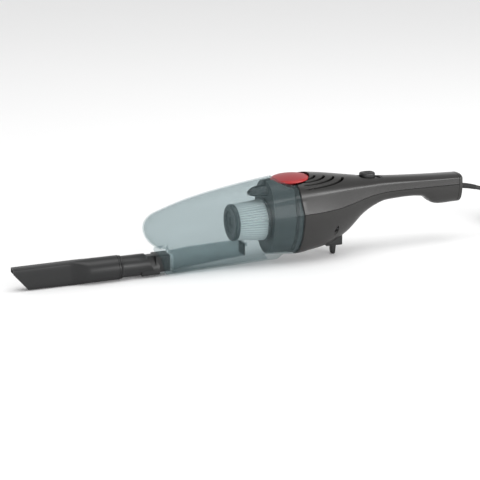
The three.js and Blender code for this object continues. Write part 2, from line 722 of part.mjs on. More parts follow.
// plan outline of one vent: a quarter ellipse that starts behind the seam and curls to the middle
const ventOutline = (index) => {
  const reachX = 24 + 15 * index;
  const reachY = 11.5 + 3.7 * index;
  const steps = 4;
  const side = (offset) => [...Array(steps + 1).keys()].map((i) => {
    const angle = (i / steps) * Math.PI / 2 * 0.96;
    const thick = offset * (1 + 0.6 * (i / steps));
    return [4 + (reachX + thick) * Math.sin(angle), 11 + (reachY + thick) * Math.cos(angle)];
  });
  return [...side(ventWidth / 2), ...side(-ventWidth / 2).reverse()];
};

const ventCutters = () => {
  const cutters = [];
  for (let index = 0; index < ventCount; index += 1) {
    for (const side of [-1, 1]) {
      const shape = new THREE.Shape(ventOutline(index).map(([x, y]) => new THREE.Vector2(x, side * y)));
      const cutter = new THREE.ExtrudeGeometry(shape, { depth: 60, bevelEnabled: false, steps: 1 });
      cutters.push(cutter.translate(0, 0, 90));
    }
  }
  return cutters;
};

const housingShell = () => cut(
  keepWithin(housingForm(0, -20, housingLength), behindSeam(gap / 2, 400)),
  housingForm(housingWall, -30, housingLength + 20),
);

const bezelFrom = switchCentre - switchLength / 2 - bezelMargin;
const bezelTo = switchCentre + switchLength / 2 + bezelMargin + switchTravel;
const bezelHalfWidth = switchWidth / 2 + 2.2;
const bezelOpening = (extra) => {
  const loops = [80, 140].map((z) => boxSection(bezelHalfWidth + extra, bezelFrom - extra, bezelTo + extra, 5)
    .map(([y, x]) => new THREE.Vector3(x, y, z)));
  return loft(loops);
};

const frontScrewX = 0.68 * bayLength;
const frontScrewY = 30;
const screwPlaces = [
  [frontScrewX, frontScrewY], [frontScrewX, -frontScrewY], [onHandle(0.22), 0], [onHandle(0.6), 0],
];
const screwRadius = 1.6;
const screwHeadRadius = 3.2;

const screwHeadSeat = (x, y) => {
  const section = bodySection(x);
  const lower = section.filter(([sy, sz]) => sz < partingLine(x) && sy >= 0)
    .sort((a, b) => a[0] - b[0]);
  const after = lower.findIndex(([sy]) => sy >= Math.abs(y));
  const [a, b] = [lower[Math.max(after - 1, 0)], lower[after]];
  const t = b[0] === a[0] ? 0 : (Math.abs(y) - a[0]) / (b[0] - a[0]);
  return a[1] + (b[1] - a[1]) * t;
};

// room that a screw post may fill, out to the middle of the housing's wall
const postRoom = () => housingForm(housingWall / 2, -5, housingLength);

const upperHousing = () => {
  const pocket = post(buttonCentre, 0, 96, 150, buttonRadius + slack, 28);
  const posts = screwPlaces.map(([x, y]) => {
    const foot = partingLine(x) + gap;
    return keepWithin(post(x, y, foot, 130, screwHeadRadius + 0.6, 8), postRoom());
  });
  const pilots = screwPlaces.map(([x, y]) =>
    post(x, y, partingLine(x) - 5, partingLine(x) + 9, screwRadius + gap, 8));
  const shell = join(keepWithin(housingShell(), aboveParting(gap / 2)), ...posts);
  return cut(shell, ...ventCutters(), pocket, bezelOpening(gap), ...pilots);
};

const lowerHousing = () => {
  const shell = cut(housingShell(), aboveParting(-gap / 2));
  const posts = screwPlaces.map(([x, y]) =>
    keepWithin(post(x, y, 0, partingLine(x) - gap, screwHeadRadius + 1.6, 8), postRoom()));
  const holes = screwPlaces.map(([x, y]) => post(x, y, -10, 120, screwRadius + gap, 8));
  const seats = screwPlaces.map(([x, y]) =>
    post(x, y, -10, screwHeadSeat(x, y) + 6, screwHeadRadius + gap, 12));
  return cut(join(shell, ...posts), ...holes, ...seats);
};

const housingScrew = (x, y) => {
  const seat = screwHeadSeat(x, y) + 6;
  const points = [
    [0, seat - 2.4], [screwHeadRadius - 0.8, seat - 2.4], [screwHeadRadius, seat - 1.4],
    [screwHeadRadius, seat - gap], [screwRadius, seat - gap], [screwRadius, partingLine(x) + 8],
    [0, partingLine(x) + 8],
  ];
  const geometry = new THREE.LatheGeometry(points.map(([r, z]) => new THREE.Vector2(r, z)), 10);
  return outward(geometry.rotateX(Math.PI / 2)).translate(x, y, 0);
};

// ---------------------------------------------------------------- motor
const fanShare = 0.84; // of the half width inside the housing
const fanRadius = fanShare * (ringHalfWidth - housingWall);
const statorFront = fanFront + fanDepth + 7;
const commutatorFront = statorFront + statorLength + 4;
const rearFrame = commutatorFront + commutatorLength + 4;
const shaftClear = shaftRadius + gap;

const fanShroud = () => turned([
  [fanFront, 14], [fanFront, fanRadius], [fanFront + fanDepth, fanRadius],
  [fanFront + fanDepth, fanRadius - 1.5], [fanFront + 1.5, fanRadius - 1.5], [fanFront + 1.5, 14],
  [fanFront, 14],
], motorAxis, 24);

const fanImpeller = () => {
  const radius = fanRadius - 3;
  const front = fanFront + 4;
  const hub = turned([
    [front, shaftClear], [front, 7], [front + 11, 9], [front + 11, radius], [front + 12.5, radius],
    [front + 12.5, shaftClear], [front, shaftClear],
  ], motorAxis, 24);
  const blades = [...Array(8).keys()].map((i) => {
    const blade = new THREE.BoxGeometry(9.5, 1.6, radius - 9);
    blade.translate(front + 7, 0, (radius + 8) / 2).rotateX(0.35);
    blade.translate(0, 3, -1.2);
    return blade.rotateX((i * Math.PI) / 4).translate(0, 0, motorAxis);
  });
  return join(hub, ...blades);
};

const motorFrontFrame = () => {
  const face = fanFront + fanDepth + gap;
  const plate = turned([
    [face, shaftRadius + 2], [face, fanRadius], [face + 2.5, fanRadius], [face + 2.5, bearingRadius + 3],
    [face + 5.5, bearingRadius + 3], [face + 5.5, bearingRadius + gap], [face + 1.6, bearingRadius + gap],
    [face + 1.6, shaftRadius + 2], [face, shaftRadius + 2],
  ], motorAxis, 24);
  const slots = [45, 135, 225, 315].map((angle) => new THREE.BoxGeometry(12, 14, 8)
    .translate(face, 0, 22).rotateX(THREE.MathUtils.degToRad(angle)).translate(0, 0, motorAxis));
  return cut(plate, ...slots);
};

const frontBearing = () => ring(
  fanFront + fanDepth + 2.2, fanFront + fanDepth + 2.2 + 4, shaftClear, bearingRadius, motorAxis, 16,
);

const fieldCore = () => {
  const body = ring(statorFront, statorFront + statorLength, statorBore, statorRadius, motorAxis, 24);
  const flats = [-1, 1].map((side) =>
    block(statorFront - 5, statorFront + statorLength + 5, side > 0 ? 24 : -40, side > 0 ? 40 : -24, 0, 140));
  return cut(body, ...flats);
};

const fieldWinding = () => turned([
  [statorFront + statorLength + gap, 18], [statorFront + statorLength + gap, 24],
  [statorFront + statorLength + 4, 23], [statorFront + statorLength + 4, 18],
  [statorFront + statorLength + gap, 18],
], motorAxis, 20);

const armatureCore = () =>
  ring(statorFront + 1, statorFront + statorLength - 1, shaftClear, armatureRadius, motorAxis, 20);

const commutator = () =>
  ring(commutatorFront, commutatorFront + commutatorLength, shaftClear, commutatorRadius, motorAxis, 16);

const motorShaft = () =>
  ring(fanFront + 3, rearFrame + bearingWidth + 2, 0, shaftRadius, motorAxis, 14);

const motorRearFrame = () => {
  const hubRear = rearFrame + bearingWidth + 3;
  const armReach = statorRadius - 1.6;
  const hub = turned([
    [rearFrame, shaftRadius + 2], [rearFrame, bearingRadius + 3], [hubRear, bearingRadius + 3],
    [hubRear, bearingRadius + gap], [rearFrame + 1.6, bearingRadius + gap],
    [rearFrame + 1.6, shaftRadius + 2], [rearFrame, shaftRadius + 2],
  ], motorAxis, 24);
  const arms = [-1, 1].flatMap((side) => [
    block(rearFrame, rearFrame + 2.4, -5, 5,
      motorAxis + (side > 0 ? 11 : -armReach), motorAxis + (side > 0 ? armReach : -11)),
    block(statorFront + statorLength + gap, rearFrame + 2.4, -5, 5,
      motorAxis + (side > 0 ? armReach - 2 : -armReach), motorAxis + (side > 0 ? armReach : 2 - armReach)),
  ]);
  return join(hub, ...arms);
};

const rearBearing = () =>
  ring(rearFrame + 2, rearFrame + 2 + bearingWidth, shaftClear, bearingRadius, motorAxis, 20);

const brushMiddle = commutatorFront + commutatorLength / 2;
const brushHolder = (side) => {
  const [near, far] = [commutatorRadius + 2, commutatorRadius + 15];
  const tube = block(brushMiddle - 4.5, brushMiddle + 4.5, near, far, motorAxis - 4.5, motorAxis + 4.5);
  const bore = block(brushMiddle - 3, brushMiddle + 3, near - 5, far - 2, motorAxis - 3, motorAxis + 3);
  return outward(cut(tube, bore).scale(1, side, 1));
};

const carbonBrush = (side) => outward(block(
  brushMiddle - 3 + gap, brushMiddle + 3 - gap, commutatorRadius + gap, commutatorRadius + 12,
  motorAxis - 3 + gap, motorAxis + 3 - gap,
).scale(1, side, 1));

const frontMotorMount = () => ring(
  fanFront + 3, fanFront + 11, fanRadius + gap, fanRadius + 3.2, motorAxis, 24,
);

const rearMotorMount = () => {
  const from = rearFrame + bearingWidth + 3 + gap;
  return turned([
    [from, 5], [from, bearingRadius + 3], [from + 4, bearingRadius + 1], [from + 4, 5], [from, 5],
  ], motorAxis, 20);
};

// ---------------------------------------------------------------- switch and leads
const housingTopAtSwitch = topLine(switchCentre);
const switchBezel = () => {
  const plate = keepWithin(bezelOpening(0), housingForm(1.2, 40, onHandle(0.4)));
  const floor = housingTopAtSwitch - 7;
  const body = cut(plate, block(0, 300, -60, 60, 0, floor));
  const dish = loft([floor + 2.5, 160].map((z) =>
    boxSection(switchWidth / 2 + slack, bezelFrom + bezelMargin / 2, bezelTo - 2.5, 4)
      .map(([y, x]) => new THREE.Vector3(x, y, z))));
  const slot = block(switchCentre - 3, switchCentre + 3 + switchTravel, -2.6, 2.6, 60, 140);
  return cut(body, dish, slot);
};

const capBottom = housingTopAtSwitch - 4.5 + gap;
const switchCap = () => {
  const top = housingTopAtSwitch + switchRise;
  const outline = (extra) => boxSection(switchWidth / 2 + extra, switchCentre - switchLength / 2 - extra,
    switchCentre + switchLength / 2 + extra, 5 + extra);
  const level = (z, extra) => outline(extra).map(([y, x]) => new THREE.Vector3(x, y, z));
  const body = loft([
    level(capBottom, -0.4), level(top - 2.5, -0.4), level(top - 0.8, -1.4), level(top, -3),
  ]);
  const stem = block(switchCentre - 2, switchCentre + 2, -1.8, 1.8, housingTopAtSwitch - 11, capBottom + 1);
  const thumb = new THREE.SphereGeometry(30, 16, 24).scale(0.55, 0.45, 1)
    .translate(switchCentre, 0, top + 28.4);
  return cut(join(body, stem), thumb);
};

const moduleTop = housingTopAtSwitch - 11.5;
const moduleBottom = Math.max(moduleTop - 14, bottomLine(switchCentre) + 12);
const switchModule = () =>
  block(switchCentre - 11, switchCentre + 13, -8, 8, moduleBottom, moduleTop);

const suppressor = () => {
  const can = new THREE.CylinderGeometry(6, 6, 16, 16).rotateZ(Math.PI / 2);
  return can.translate(onSweep(0.45), 0, 79.5);
};

// a round lead along chosen points
const lead = (points, radius, steps, sides) => {
  const path = new THREE.CatmullRomCurve3(points.map(([x, y, z]) => new THREE.Vector3(x, y, z)));
  const round = new THREE.Shape();
  for (let i = 0; i < sides; i += 1) {
    const angle = (i / sides) * 2 * Math.PI;
    const [x, y] = [radius * Math.cos(angle), radius * Math.sin(angle)];
    if (i === 0) round.moveTo(x, y);
    else round.lineTo(x, y);
  }
  return outward(new THREE.ExtrudeGeometry(round, { steps, bevelEnabled: false, extrudePath: path }));
};

const clampX = onHandle(0.9);
const innerLead = (side) => lead([
  [switchCentre + 13 + 3 * gap, side * 4, moduleTop - 6],
  [onSweep(0.9), side * 6, 90], [onHandle(0.22), side * 7.4, 87], [onHandle(0.6), side * 7.4, 84],
  [clampX - 6, side * 3, cordHeight],
], 1.3, 12, 8);

const motorLead = (side) => lead([
  [switchCentre - 11 - 4 * gap, side * 5, moduleTop - 6],
  [onSweep(0.25), side * 12, 88], [bayLength, side * 17, 78], [brushMiddle + 1, side * 21, motorAxis + 5.5],
], 1.1, 10, 8);

// ---------------------------------------------------------------- end of the handle
const endCapFrom = housingLength + gap;
const handleEndCap = () => {
  const outer = bodySection(housingLength);
  const middle = (topLine(housingLength) + bottomLine(housingLength)) / 2;
  const shrunk = (shareY, shareZ) => outer.map(([y, z]) => [y * shareY, middle + (z - middle) * shareZ]);
  const capEnd = endCapFrom + endCapLength;
  const body = loft([
    loopAt(endCapFrom, outer),
    loopAt(capEnd - 2, outer),
    loopAt(capEnd - 0.7, shrunk(0.97, 0.98)),
    loopAt(capEnd, shrunk(0.9, 0.94)),
  ]);
  return cut(body, ring(endCapFrom - 5, capEnd + 5, 0, reliefBaseRadius + gap, cordHeight, 12));
};

// centre line of the strain relief, which bends down a little under the cord's weight
const reliefStart = endCapFrom - 4;
const reliefPoint = (share) => {
  const bend = 0.28 * share;
  return new THREE.Vector3(reliefStart + (reliefLength + 8) * share, 0, cordHeight - 0.5 * bend * 42 * share);
};
const cordStrainRelief = () => {
  const sides = 12;
  const steps = 7;
  return loft([...Array(steps + 1).keys()].map((i) => {
    const share = i / steps;
    const here = reliefPoint(share);
    const onward = reliefPoint(share + 0.01).sub(reliefPoint(share - 0.01)).normalize();
    const up = new THREE.Vector3(-onward.z, 0, onward.x);
    const radius = THREE.MathUtils.lerp(reliefBaseRadius, reliefTipRadius, share);
    return [...Array(sides).keys()].map((j) => {
      const angle = (j / sides) * 2 * Math.PI;
      const across = new THREE.Vector3(0, radius * Math.cos(angle), 0);
      return across.addScaledVector(up, radius * Math.sin(angle)).add(here);
    });
  }));
};

const cordClamp = () => {
  const bar = block(clampX - 4, clampX + 4, -11.5, 11.5, cordHeight - 9, cordHeight - 1);
  const groove = ring(clampX - 10, clampX + 10, 0, cordDiameter / 2 + 0.2, cordHeight, 12);
  const holes = [-1, 1].map((side) => post(clampX, side * 8.4, 50, 110, 1.3 + gap, 10));
  return cut(bar, groove, ...holes);
};

const clampScrew = (side) => {
  const base = cordHeight - 12;
  const points = [
    [0, base], [2.4, base], [2.4, base + 2.4], [1.3, base + 2.4], [1.3, base + 16], [0, base + 16],
  ];
  const geometry = new THREE.LatheGeometry(points.map(([r, z]) => new THREE.Vector2(r, z)), 10);
  return outward(geometry.rotateX(Math.PI / 2)).translate(clampX, side * 8.4, 0);
};

// hook for winding the cord: a block that follows the underside, and a prong down to the floor
const cordHook = () => {
  const rear = hookFront + hookLength;
  const base = block(hookFront, rear, -hookHalfWidth, hookHalfWidth, hookFlat, 60);
  const underside = housingForm(-gap, -5, handleStart);
  const prong = sidePlate([
    [hookFront + 10, hookFlat + 6], [hookFront + 12, 3], [hookFront + 12.6, 0.9], [hookFront + 13.6, 0],
    [hookFront + 17, 0], [hookFront + 18.2, 1.2], [hookFront + 19, 10], [hookFront + 20.5, hookFlat + 6],
  ], prongWidth / 2);
  return cut(join(cut(base, block(0, 200, -60, 60, 36, 80)), prong), underside);
};

// ---------------------------------------------------------------- mains cord
const cordRadius = cordDiameter / 2;
const coilHalfWidth = (coilColumns * cordDiameter) / 2;
const coilHeight = coilRows * cordDiameter;
const coilBase = tieThickness + gap;
const outerTurn = coilRadius + coilHalfWidth - cordRadius;
const coilCentre = new THREE.Vector3(onHandle(1) + 152, outerTurn, 0);
const reliefTip = reliefPoint(1);

// route of the lead from the strain relief, down to the floor and along it to the coil
const leadRoute = [
  [reliefTip.x - onHandle(1) + gap, reliefTip.z], [56, 73.5], [68, 64], [77, 50], [84, 35],
  [92, 20], [102, 9], [114, 4.4], [125, cordRadius + 0.2],
].map(([x, z]) => [onHandle(1) + x, 0, z]);
const cordLead = () => lead(leadRoute, cordRadius, 16, 10);

const cordCoil = () => {
  const [inner, outer] = [coilRadius - coilHalfWidth, coilRadius + coilHalfWidth];
  const round = cordRadius;
  const points = [
    [inner + round, coilBase], [outer - round, coilBase], [outer, coilBase + round],
    [outer, coilBase + coilHeight - round], [outer - round, coilBase + coilHeight],
    [inner + round, coilBase + coilHeight], [inner, coilBase + coilHeight - round],
    [inner, coilBase + round], [inner + round, coilBase],
  ];
  const geometry = new THREE.LatheGeometry(points.map(([r, z]) => new THREE.Vector2(r, z)), 28);
  return outward(geometry.rotateX(Math.PI / 2)).translate(coilCentre.x, coilCentre.y, 0);
};

// flat strap round one place of the coil
const cordTie = () => {
  const reach = coilHalfWidth + gap + 1.2; // the turns curve away under the strap's width
  const coilTop = coilBase + coilHeight;
  const loops = (extra) =>
    boxSection(reach + extra, coilBase - gap - extra, coilTop + gap + extra, cordRadius + 0.2 + extra);
  const place = (x, section) => section.map(([y, z]) =>
    new THREE.Vector3(coilCentre.x + x, coilCentre.y + coilRadius + y, z));
  const ends = [-tieWidth / 2, tieWidth / 2];
  return pipeLoft(ends.map((x) => place(x, loops(tieThickness))), ends.map((x) => place(x, loops(0))));
};

const tailBend = 26; // radius of the bend in which the tail turns back to the plug
const tailRise = coilBase + coilHeight + cordRadius + gap; // height at which it crosses the coil
const plugEnd = coilCentre.x + 18; // where the cord enters the plug
const plugY = coilCentre.y - coilRadius - coilHalfWidth - plugWidth / 2 - 9;
const tailEnd = [plugEnd, plugY, plugThickness / 2];
const aroundBend = ([degrees, fall]) => {
  const angle = THREE.MathUtils.degToRad(degrees);
  return [
    plugEnd + 2.4 + tailBend * Math.cos(angle), plugY + tailBend * (1 + Math.sin(angle)),
    THREE.MathUtils.lerp(tailRise, tailEnd[2], fall),
  ];
};

// the tail leaves the inside of the coil, crosses it and comes down beside it into the plug
const innerTurn = coilRadius - coilHalfWidth + cordRadius;
const tailRoute = [
  [coilCentre.x + 0.26 * innerTurn, coilCentre.y - 0.966 * innerTurn, tailRise],
  [coilCentre.x + 0.26 * innerTurn + 5.8, coilCentre.y - 0.966 * innerTurn + 1.6, tailRise],
  ...[[85, 0], [65, 0], [45, 0], [33, 0], [18, 0.1], [0, 0.4], [-25, 0.75], [-50, 0.95], [-75, 1]]
    .map(aroundBend),
  [tailEnd[0] + gap, tailEnd[1], tailEnd[2]],
];
const cordTail = () => lead(tailRoute, cordRadius, 22, 10);

const plugBody = () => {
  const [rear, front] = [tailEnd[0], tailEnd[0] - plugLength];
  const oval = (x, halfWidth, halfThick) => [...Array(16).keys()].map((i) => {
    const angle = ((i + 0.5) / 16) * 2 * Math.PI;
    return new THREE.Vector3(x, plugY + halfWidth * corner(Math.cos(angle), 0.7),
      plugThickness / 2 + halfThick * corner(Math.sin(angle), 0.7));
  });
  const [w, t] = [plugWidth / 2, plugThickness / 2];
  return loft([
    oval(rear, 4.4, 4.4), oval(rear - 9, 5.6, 5.2), oval(rear - 14, 0.7 * w, 0.8 * t),
    oval(rear - 20, w, t), oval(front + 4, w, t), oval(front, 0.92 * w, 0.86 * t),
  ]);
};

const plugPin = (side) => {
  const from = tailEnd[0] - plugLength - gap;
  const pin = turned([[from - pinLength, 0], [from - pinLength, pinRadius - 0.8],
    [from - pinLength + 1.2, pinRadius], [from, pinRadius], [from, 0]], plugThickness / 2, 12);
  return pin.translate(0, plugY + side * 9.5, 0);
};

// ---------------------------------------------------------------- assembly
const vacuum = new THREE.Group();
const add = (parent, name, geometry, material) => {
  const mesh = new THREE.Mesh(geometry, material);
  mesh.name = name;
  parent.add(mesh);
};

const nozzleGroup = new THREE.Group();
add(nozzleGroup, 'crevice_nozzle', creviceNozzle(), nozzleBlack);

const adapterGroup = new THREE.Group();
add(adapterGroup, 'nozzle_adapter', nozzleAdapter(), nozzleBlack);
add(adapterGroup, 'adapter_seal', adapterSeal(), softRubber);

const cupGroup = new THREE.Group();
add(cupGroup, 'dust_cup', dustCup(), smokyClear);
add(cupGroup, 'inlet_duct', inletDuct(), smokyClear);
add(cupGroup, 'inlet_flap', inletFlap(), softRubber);
add(cupGroup, 'flap_pin', flapPin(), steel);

const filterGroup = new THREE.Group();
add(filterGroup, 'filter_frame', filterFrame(), holderGrey);
add(filterGroup, 'filter_pleats', filterPleats(), filterPaper);
add(filterGroup, 'filter_front_cap', filterFrontCap(), capGrey);
add(filterGroup, 'filter_seal', filterSeal(), softRubber);

const buttonGroup = new THREE.Group();
add(buttonGroup, 'release_button', releaseButton(), buttonRed);
add(buttonGroup, 'release_latch', releaseLatch(), holderGrey);

const rotorGroup = new THREE.Group();
add(rotorGroup, 'motor_shaft', motorShaft(), steel);
add(rotorGroup, 'armature_core', armatureCore(), laminated);
add(rotorGroup, 'commutator', commutator(), copper);
add(rotorGroup, 'fan_impeller', fanImpeller(), steel);

const switchGroup = new THREE.Group();
add(switchGroup, 'switch_cap', switchCap(), nozzleBlack);

const bodyGroup = new THREE.Group();
add(bodyGroup, 'upper_housing', upperHousing(), housingGrey);
add(bodyGroup, 'lower_housing', lowerHousing(), housingGrey);
add(bodyGroup, 'bulkhead', bulkhead(), holderGrey);
add(bodyGroup, 'cup_seal', cupSeal(), softRubber);
add(bodyGroup, 'button_spring', buttonSpring(), steel);
add(bodyGroup, 'handle_end_cap', handleEndCap(), housingGrey);
add(bodyGroup, 'cord_hook', cordHook(), nozzleBlack);
add(bodyGroup, 'switch_bezel', switchBezel(), nozzleBlack);
add(bodyGroup, 'switch_module', switchModule(), nozzleBlack);
add(bodyGroup, 'suppressor', suppressor(), whitePlastic);
add(bodyGroup, 'fan_shroud', fanShroud(), steel);
add(bodyGroup, 'motor_front_frame', motorFrontFrame(), steel);
add(bodyGroup, 'motor_rear_frame', motorRearFrame(), steel);
add(bodyGroup, 'front_bearing', frontBearing(), steel);
add(bodyGroup, 'rear_bearing', rearBearing(), steel);
add(bodyGroup, 'field_core', fieldCore(), laminated);
add(bodyGroup, 'field_winding', fieldWinding(), copper);
add(bodyGroup, 'front_motor_mount', frontMotorMount(), softRubber);
add(bodyGroup, 'rear_motor_mount', rearMotorMount(), softRubber);
for (const [side, word] of [[-1, 'near'], [1, 'far']]) {
  add(bodyGroup, `brush_holder_${word}`, brushHolder(side), brass);
  add(bodyGroup, `carbon_brush_${word}`, carbonBrush(side), carbon);
  add(bodyGroup, `inner_lead_${word}`, innerLead(side), cordBlack);
  add(bodyGroup, `motor_lead_${word}`, motorLead(side), cordBlack);
  add(bodyGroup, `clamp_screw_${word}`, clampScrew(side), steel);
}
screwPlaces.forEach(([x, y], i) => add(bodyGroup, `housing_screw_${i + 1}`, housingScrew(x, y), steel));
add(bodyGroup, 'cord_clamp', cordClamp(), nozzleBlack);

const cordGroup = new THREE.Group();
add(cordGroup, 'cord_strain_relief', cordStrainRelief(), softRubber);
add(cordGroup, 'cord_lead', cordLead(), cordBlack);
add(cordGroup, 'cord_coil', cordCoil(), cordBlack);
add(cordGroup, 'cord_tail', cordTail(), cordBlack);
add(cordGroup, 'cord_tie', cordTie(), softRubber);
add(cordGroup, 'plug_body', plugBody(), cordBlack);
add(cordGroup, 'plug_pin_near', plugPin(-1), brass);
add(cordGroup, 'plug_pin_far', plugPin(1), brass);

vacuum.add(nozzleGroup, adapterGroup, cupGroup, filterGroup, buttonGroup);
vacuum.add(rotorGroup, switchGroup, bodyGroup, cordGroup);

// origin under the middle of the vacuum's own length
const frontEnd = socketRim - nozzleLength;
const rearEnd = endCapFrom + endCapLength;
vacuum.position.x = -(frontEnd + rearEnd) / 2;

export default vacuum;
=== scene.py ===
# Corded handheld vacuum with a smoky clear dust cup, on a pale floor.
# Lengths in the dictionaries are millimetres unless a note says otherwise; meshes are made in metres.
import bpy
import json
import math
from mathutils import Matrix, Vector


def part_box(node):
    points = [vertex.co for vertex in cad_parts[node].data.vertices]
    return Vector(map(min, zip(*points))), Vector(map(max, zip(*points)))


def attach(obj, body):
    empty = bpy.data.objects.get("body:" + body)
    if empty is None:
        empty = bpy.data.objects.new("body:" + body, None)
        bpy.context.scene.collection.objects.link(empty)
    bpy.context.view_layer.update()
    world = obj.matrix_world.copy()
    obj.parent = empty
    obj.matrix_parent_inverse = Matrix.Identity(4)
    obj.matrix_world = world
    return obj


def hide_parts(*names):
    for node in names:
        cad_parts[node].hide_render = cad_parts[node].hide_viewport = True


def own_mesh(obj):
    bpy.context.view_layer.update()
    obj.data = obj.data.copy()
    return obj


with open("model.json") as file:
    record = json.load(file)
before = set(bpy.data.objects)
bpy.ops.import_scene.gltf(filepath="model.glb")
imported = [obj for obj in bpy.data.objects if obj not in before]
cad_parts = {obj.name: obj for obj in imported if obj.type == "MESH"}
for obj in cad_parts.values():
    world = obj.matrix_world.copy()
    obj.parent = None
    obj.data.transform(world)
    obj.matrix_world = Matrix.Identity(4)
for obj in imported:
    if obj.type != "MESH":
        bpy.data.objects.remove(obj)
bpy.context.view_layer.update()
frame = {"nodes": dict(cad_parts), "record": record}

handleEnd = 272.8                                             # from the cup's seam to the end cap's rear
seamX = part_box("handle_end_cap")[1][0] * 1000 - handleEnd     # where the seam stands along X


def place(x, y, z):
    return Vector(((x + seamX) / 1000, y / 1000, z / 1000))


def linked(made):
    bpy.context.collection.objects.link(made)
    return made


# ---- camera; the light and floor are made with the studio at the end
cameraPlan = {"azimuth": -22.0, "elevation": 16.2, "distance": 2.0, "lens": 104.9,
              "target": (-0.01175, 0.0, 0.03628)}             # distance and target in metres


def makeCamera(plan):
    azimuth, elevation = math.radians(plan["azimuth"]), math.radians(plan["elevation"])
    back = Vector((math.sin(azimuth) * math.cos(elevation), -math.cos(azimuth) * math.cos(elevation),
                   math.sin(elevation)))
    data = bpy.data.cameras.new("camera")
    data.lens, data.sensor_width = plan["lens"], 36
    camera = linked(bpy.data.objects.new("camera", data))
    camera.location = Vector(plan["target"]) + back * plan["distance"]
    camera.rotation_euler = (-back).to_track_quat("-Z", "Y").to_euler()
    data.clip_start, data.clip_end = 0.05, 60
    bpy.context.scene.camera = camera


makeCamera(cameraPlan)
print("camera made")


# ---- shader helpers
class Link:
    # an output of a node that can be used in plain arithmetic
    def __init__(self, graph, socket):
        self.graph = graph
        self.socket = socket

    def combine(self, operation, first, second):
        return self.graph.node("ShaderNodeMath", {"operation": operation}, {0: first, 1: second})

    def __add__(self, other):
        return self.combine("ADD", self, other)

    def __sub__(self, other):
        return self.combine("SUBTRACT", self, other)

    def __rsub__(self, other):
        return self.combine("SUBTRACT", other, self)

    def __mul__(self, other):
        return self.combine("MULTIPLY", self, other)

    def __pow__(self, other):
        return self.combine("POWER", self, other)

    __radd__ = __add__
    __rmul__ = __mul__


class Graph:
    def __init__(self, tree):
        self.tree = tree

    def node(self, kind, settings=None, values=None, output=0):
        made = self.tree.nodes.new(kind)
        for key, value in (settings or {}).items():
            if key == "stops":
                ramp = made.color_ramp
                ramp.elements[0].position, ramp.elements[0].color = value[0][0], shadeOf(value[0][1])
                ramp.elements[1].position, ramp.elements[1].color = value[-1][0], shadeOf(value[-1][1])
                for position, colour in value[1:-1]:
                    ramp.elements.new(position).color = shadeOf(colour)
            else:
                setattr(made, key, value)
        for key, value in (values or {}).items():
            self.feed(made.inputs[key], value)
        return Link(self, made.outputs[output])

    def feed(self, socket, value):
        if isinstance(value, Link):
            self.tree.links.new(value.socket, socket)
        else:
            socket.default_value = value

    def mixColour(self, share, first, second):
        settings = {"data_type": "RGBA"}
        return self.node("ShaderNodeMix", settings, {0: share, 6: first, 7: second}, 2)

    def onPiece(self):
        return self.node("ShaderNodeTexCoord", output="Object")

    def noise(self, scale, detail=2.0, vector=None):
        return self.node("ShaderNodeTexNoise", None, {
            "Vector": vector or self.onPiece(), "Scale": scale, "Detail": detail, "Roughness": 0.55})

    def stretched(self, scale):
        return self.node("ShaderNodeMapping", None, {"Vector": self.onPiece(), "Scale": scale})

    def bump(self, height, strength, distance):
        return self.node("ShaderNodeBump", None, {
            "Height": height, "Strength": strength, "Distance": distance})

    def between(self, share, colour, low, high):
        return self.mixColour(share, toned(colour, low), toned(colour, high))


def shadeOf(colour):
    if isinstance(colour, (int, float)):
        return (colour, colour, colour, 1)
    return (*colour[:3], 1)


def fromHex(text):
    parts = [int(text[i:i + 2], 16) / 255 for i in (0, 2, 4)]
    return tuple(c / 12.92 if c <= 0.04045 else ((c + 0.055) / 1.055) ** 2.4 for c in parts)


def toned(colour, share):
    return (*[min(1.0, c * share) for c in colour[:3]], 1)


def newMaterial(name):
    material = bpy.data.materials.new(name)
    material.use_nodes = True
    material.node_tree.nodes.clear()
    return material, Graph(material.node_tree)


def ended(material, graph, shader):
    end = material.node_tree.nodes.new("ShaderNodeOutputMaterial")
    graph.feed(end.inputs[0], shader)
    return material


def surfaced(material, graph, tone, rough, bump, more=None):
    return ended(material, graph, graph.node("ShaderNodeBsdfPrincipled", None, {
        "Base Color": tone, "Roughness": rough, "Normal": bump, **(more or {})}))


# moulded plastic or rubber: cloudy tone, uneven gloss, fine grain
def moulded(name, colour, rough, grain=900, grainDepth=0.00002, cloud=0.12, metallic=0.0, coat=0.0,
            fleck=0.0):
    material, graph = newMaterial(name)
    broad = graph.noise(22, 3)
    tone = graph.between(broad, colour, 1 - cloud, 1 + cloud)
    if fleck:
        cells = graph.node("ShaderNodeTexVoronoi", None, {"Vector": graph.onPiece(), "Scale": 1500}, "Color")
        sparkle = graph.node("ShaderNodeSeparateColor", None, {0: cells})
        tone = graph.mixColour(fleck, tone, graph.between(sparkle, colour, 0.5, 2.4))
    scuffs = graph.noise(1.0, 3, graph.stretched((60, 400, 400)))
    return surfaced(material, graph, tone, rough - 0.07 + 0.1 * broad + 0.06 * scuffs,
                    graph.bump(graph.noise(grain, 2), 0.5, grainDepth), {
                        "Metallic": metallic, "Coat Weight": coat, "Coat Roughness": 0.12,
                        "Specular IOR Level": 0.5})


# bare metal: turning or drawing marks along one direction
def bareMetal(name, colour, rough, marks=(900, 60, 60), darkest=0.75):
    material, graph = newMaterial(name)
    lines = graph.noise(1.0, 3, graph.stretched(marks))
    return surfaced(material, graph, graph.between(lines, colour, darkest, 1.1), rough - 0.08 + 0.2 * lines,
                    graph.bump(lines, 0.3, 0.00003), {"Metallic": 1.0})


